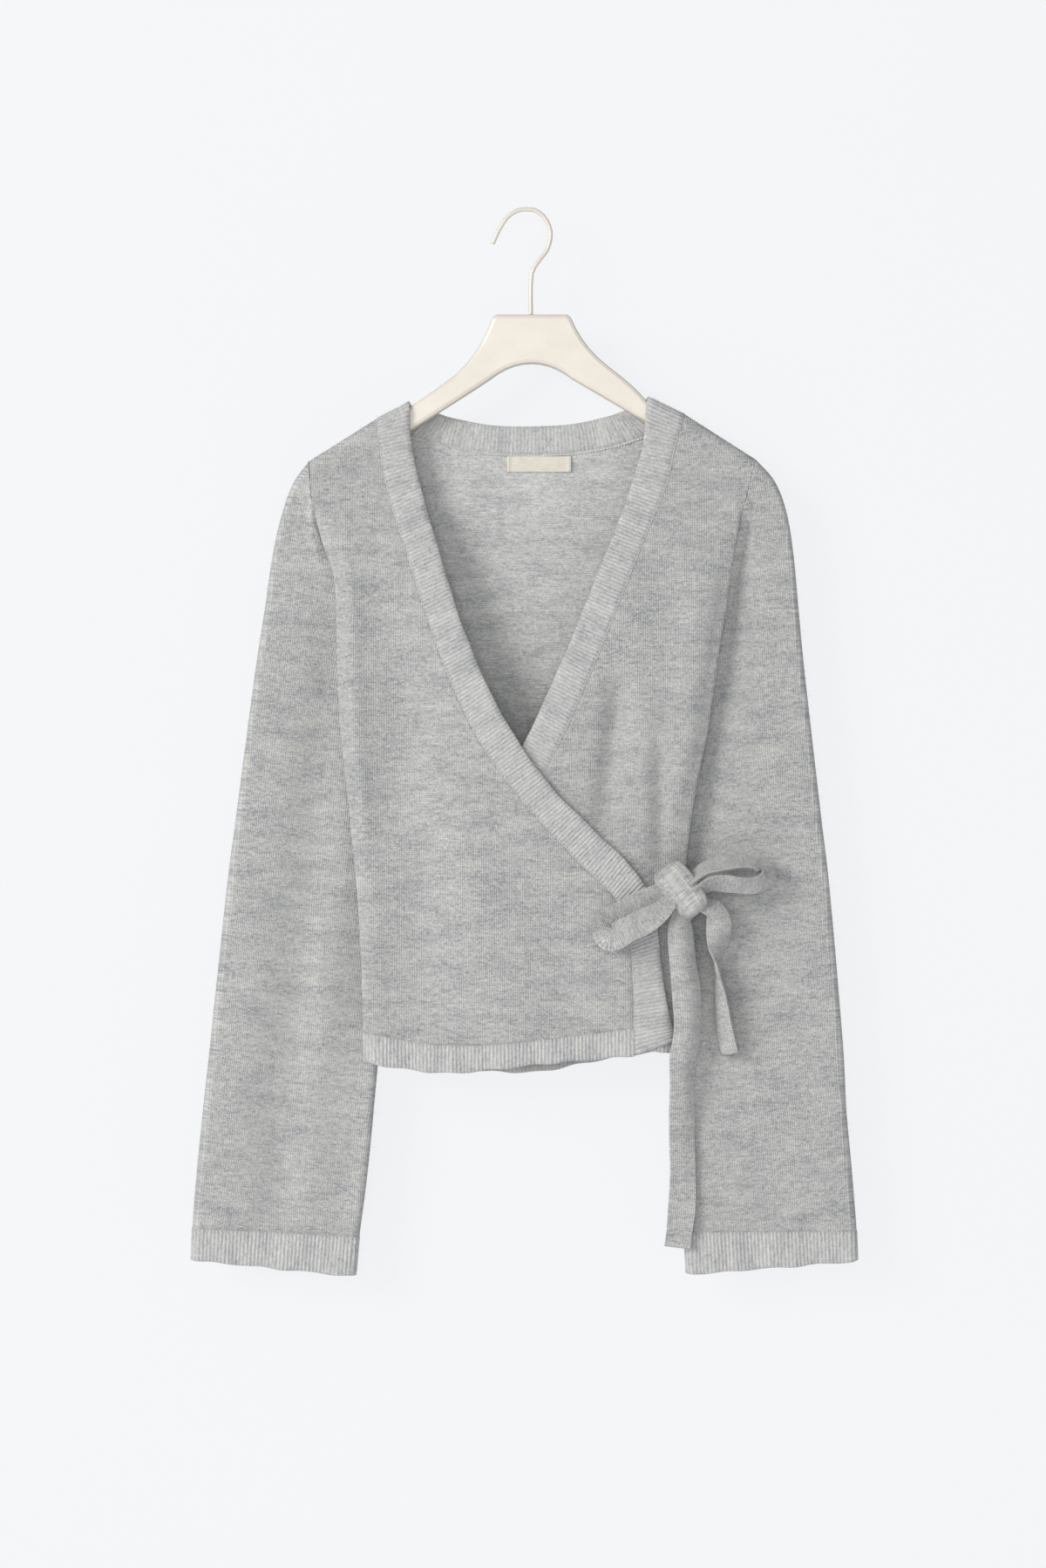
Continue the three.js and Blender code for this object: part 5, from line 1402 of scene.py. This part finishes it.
def panels():
    """The two fronts and the back, as grids of points in the middle of their walls, and their hems."""
    outer = front_grid(1, SHOULDER_LEFT[1], BAND_OUTER, HEM_OUTER.last("top"), outer_depth, HEM_OUTER)
    inner = front_grid(-1, SHOULDER_RIGHT[1], BAND_INNER, HEM_INNER.first("top"), inner_depth, HEM_INNER)
    back = back_grid()
    for grid, aside in ((outer, -1), (inner, -1), (back, 1)):
        grid[0, :, 1] += aside * SEAM_GAP / 2
    for name, grid in (("front_outer", outer), ("front_inner", inner), ("back", back)):
        turned = name != "front_outer"
        shell(name, grid, row_uvs(grid, FOLD_STEPS), [KNIT_LOOK, PURL_LOOK], turned=turned)
    hem_piece("hem_front_outer", outer[-1], HEM_OUTER, 0.4, turned=True)
    hem_piece("hem_front_inner", inner[-1], HEM_INNER, 2.1)
    hem_piece("hem_back", back[-1], HEM_BACK, 3.7)


def bands():
    """The ribbed bands of both fronts, with the linking stitches along them."""
    for name, band, inward, depth, bottom in (
        ("outer", BAND_OUTER, 1, outer_depth, HEM_OUTER.last("bottom")),
        ("inner", BAND_INNER, -1, inner_depth, HEM_INNER.first("bottom")),
    ):
        seam, free = band_edges(band, inward, depth, bottom)
        for edge in (seam, free):
            edge[:2, 1] -= SEAM_GAP / 2
        ribbed_piece("band_" + name, seam, curled(free, "band", inward), depth, turned=inward < 0)
        line = seam[(seam[:, 2] < LINKED["from"]) & (seam[:, 2] > LINKED[name])]
        stitch_line("linking_" + name, line, "band")


def neck_band():
    """The ribbed band of the back neck, with a row of larger stitches just below its seam."""
    rows = NECK.even_rows(FINE["neck"])
    seam_x, seam_z, free_x, free_z = NECK.at_rows("seam_x seam_z free_x free_z", rows)
    free = place(free_x, back_depth(free_x, free_z) - SEAM_GAP / 2, free_z)
    seam = place(seam_x, back_depth(seam_x, seam_z) - SEAM_GAP / 2, seam_z)
    seam += (free - seam) * SEAM_GAP / np.linalg.norm(free - seam, axis=1, keepdims=True)
    ribbed_piece("band_neck", seam, free, turned=True)
    middle = slice(LINKED["neck_ends"], -LINKED["neck_ends"])
    x, z = seam_x[middle], seam_z[middle] - LINKED["neck_below"]
    stitch_line("linking_neck", place(x, back_depth(x, z), z), "neck")


def sleeves():
    """Both sleeves and their cuffs."""
    for name, table, side, top, depth in (
        ("left", SLEEVE_LEFT, -1, SHOULDER_LEFT[1], outer_depth),
        ("right", SLEEVE_RIGHT, 1, SHOULDER_RIGHT[1], inner_depth),
    ):
        grid = sleeve_grid(table, side, top, depth)
        looks = [KNIT_LOOK, PURL_LOOK]
        shell("sleeve_" + name, grid, sleeve_uvs(grid, side), looks, around=True, turned=side > 0)
        cuff_piece("cuff_" + name, table, side)


def bow():
    """The knot, both loops and tails, and the two ends that are sewn on."""
    knot()
    for name, route in (
        ("tie_loop_left", LOOP_LEFT), ("tie_loop_right", LOOP_RIGHT), ("tie_tail_long", TAIL_LONG),
        ("tie_tail_short", TAIL_SHORT), ("tie_root_band", band_root()), ("tie_root_side", side_root()),
    ):
        strap(name, route)


def label():
    """A blank woven label with folded ends, sewn to the inside of the back at both ends."""
    u, v = np.meshgrid(np.linspace(-0.5, 0.5, 61), np.linspace(0.5, -0.5, 13))
    x, z = LABEL["x"] + u * LABEL["width"], LABEL["z"] + v * LABEL["height"]
    ends = smooth((np.abs(u) - LABEL["fold_from"]) / LABEL["fold_over"]) * LABEL["fold"]
    lies = WALL / 2 + STACK_GAP + LABEL["thick"] / 2
    grid = place(x, back_depth(x, z) + lies + ends / 2, z)
    uvs = np.stack([x, z], axis=-1)
    shell("neck_label", grid, uvs, [WOVEN_LOOK], lift=ends / 2, thickness=LABEL["thick"])
    for name, part in (("left", -LABEL["sewn"]), ("right", LABEL["sewn"])):
        x = LABEL["x"] + part * LABEL["width"]
        z = LABEL["z"] + np.linspace(LABEL["sewn_high"], -LABEL["sewn_high"], 12) * LABEL["height"]
        line = place(x, back_depth(x, z) + lies + LABEL["thick"] / 2 + LABEL["fold"], z)
        stitch_line("label_stitches_" + name, line, "label")


def hanger():
    for name in ("hanger_body", "hanger_hook"):
        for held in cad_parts[name].material_slots:
            held.material = PAINT_LOOK


def all_fuzz():
    for seed, (name, surfaces, count, length) in enumerate(FUZZ):
        fuzz("fuzz_" + name, [SURFACES[key] for key in surfaces.split()], count, length, seed)


# The scene

def flat_plane(name, corners, look):
    mesh = bpy.data.meshes.new(name)
    mesh.from_pydata(corners, [], [(0, 1, 2, 3)])
    mesh.materials.append(look)
    plane = bpy.data.objects.new(name, mesh)
    bpy.context.scene.collection.objects.link(plane)
    return plane


def stage():
    """A pale floor well below, and a pale wall close behind that takes the soft shadow but keeps no light
    from the back."""
    near, low, high, wide = ROOM["wall"], ROOM["floor"], ROOM["high"], ROOM["wide"]
    corners = [(-wide, near, low), (wide, near, low), (wide, near, high), (-wide, near, high)]
    wall = flat_plane("wall", corners, stage_look("pale_wall"))
    wall.visible_diffuse = wall.visible_shadow = wall.visible_glossy = False
    corners = [(-wide, -wide, low), (wide, -wide, low), (wide, near, low), (-wide, near, low)]
    flat_plane("floor", corners, stage_look("pale_floor"))


def area_light(name, at, size, power, colour, glossy=True):
    data = bpy.data.lights.new(name, "AREA")
    data.shape = "DISK"
    data.size = size
    data.energy = power
    data.color = colour
    lamp = bpy.data.objects.new(name, data)
    lamp.location = at
    lamp.visible_glossy = glossy
    lamp.rotation_euler = (Vector(LAMP_AIM) - Vector(at)).to_track_quat("-Z", "Y").to_euler()
    bpy.context.scene.collection.objects.link(lamp)


def light():
    for lamp in LAMPS:
        area_light(**lamp)
    world = bpy.data.worlds.new("studio")
    world.use_nodes = True
    background = world.node_tree.nodes["Background"]
    background.inputs["Color"].default_value = (*SKY["colour"], 1)
    background.inputs["Strength"].default_value = SKY["strength"]
    bpy.context.scene.world = world
    bpy.context.scene.view_settings.view_transform = "Standard"


def camera():
    """Straight on and far off, so that the frame spans the photograph's real size at the cardigan."""
    data = bpy.data.cameras.new("camera")
    data.sensor_width = LENS_SENSOR
    data.lens = LENS_SENSOR * CAMERA_AWAY / (PHOTO["height"] * PHOTO["mm"])
    made = bpy.data.objects.new("camera", data)
    x = (PHOTO["width"] / 2 - PHOTO["hook_x"]) * PHOTO["mm"]
    z = (PHOTO["hook_y"] - PHOTO["height"] / 2) * PHOTO["mm"]
    made.location = Vector(place(x, CAMERA_AWAY + CAMERA_PLANE, z)) * MM
    made.rotation_euler = (math.pi / 2, 0, 0)
    bpy.context.scene.collection.objects.link(made)
    bpy.context.scene.camera = made


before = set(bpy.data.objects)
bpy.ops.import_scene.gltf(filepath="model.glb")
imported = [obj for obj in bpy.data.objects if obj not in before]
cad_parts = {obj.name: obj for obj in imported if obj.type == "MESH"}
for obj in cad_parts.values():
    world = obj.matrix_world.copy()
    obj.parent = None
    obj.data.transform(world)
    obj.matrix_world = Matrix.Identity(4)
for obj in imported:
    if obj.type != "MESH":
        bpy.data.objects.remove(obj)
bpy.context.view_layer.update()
KNIT_LOOK = knit_look("knit_face", False)
PURL_LOOK = knit_look("knit_inside", True)
RIB_LOOK = rib_look()
STITCH_LOOK = stitch_look()
FIBRE_LOOK = fibre_look()
WOVEN_LOOK = woven_look()
PAINT_LOOK = paint_look()
panels()
bands()
neck_band()
sleeves()
bow()
label()
hanger()
all_fuzz()
stage()
light()
camera()
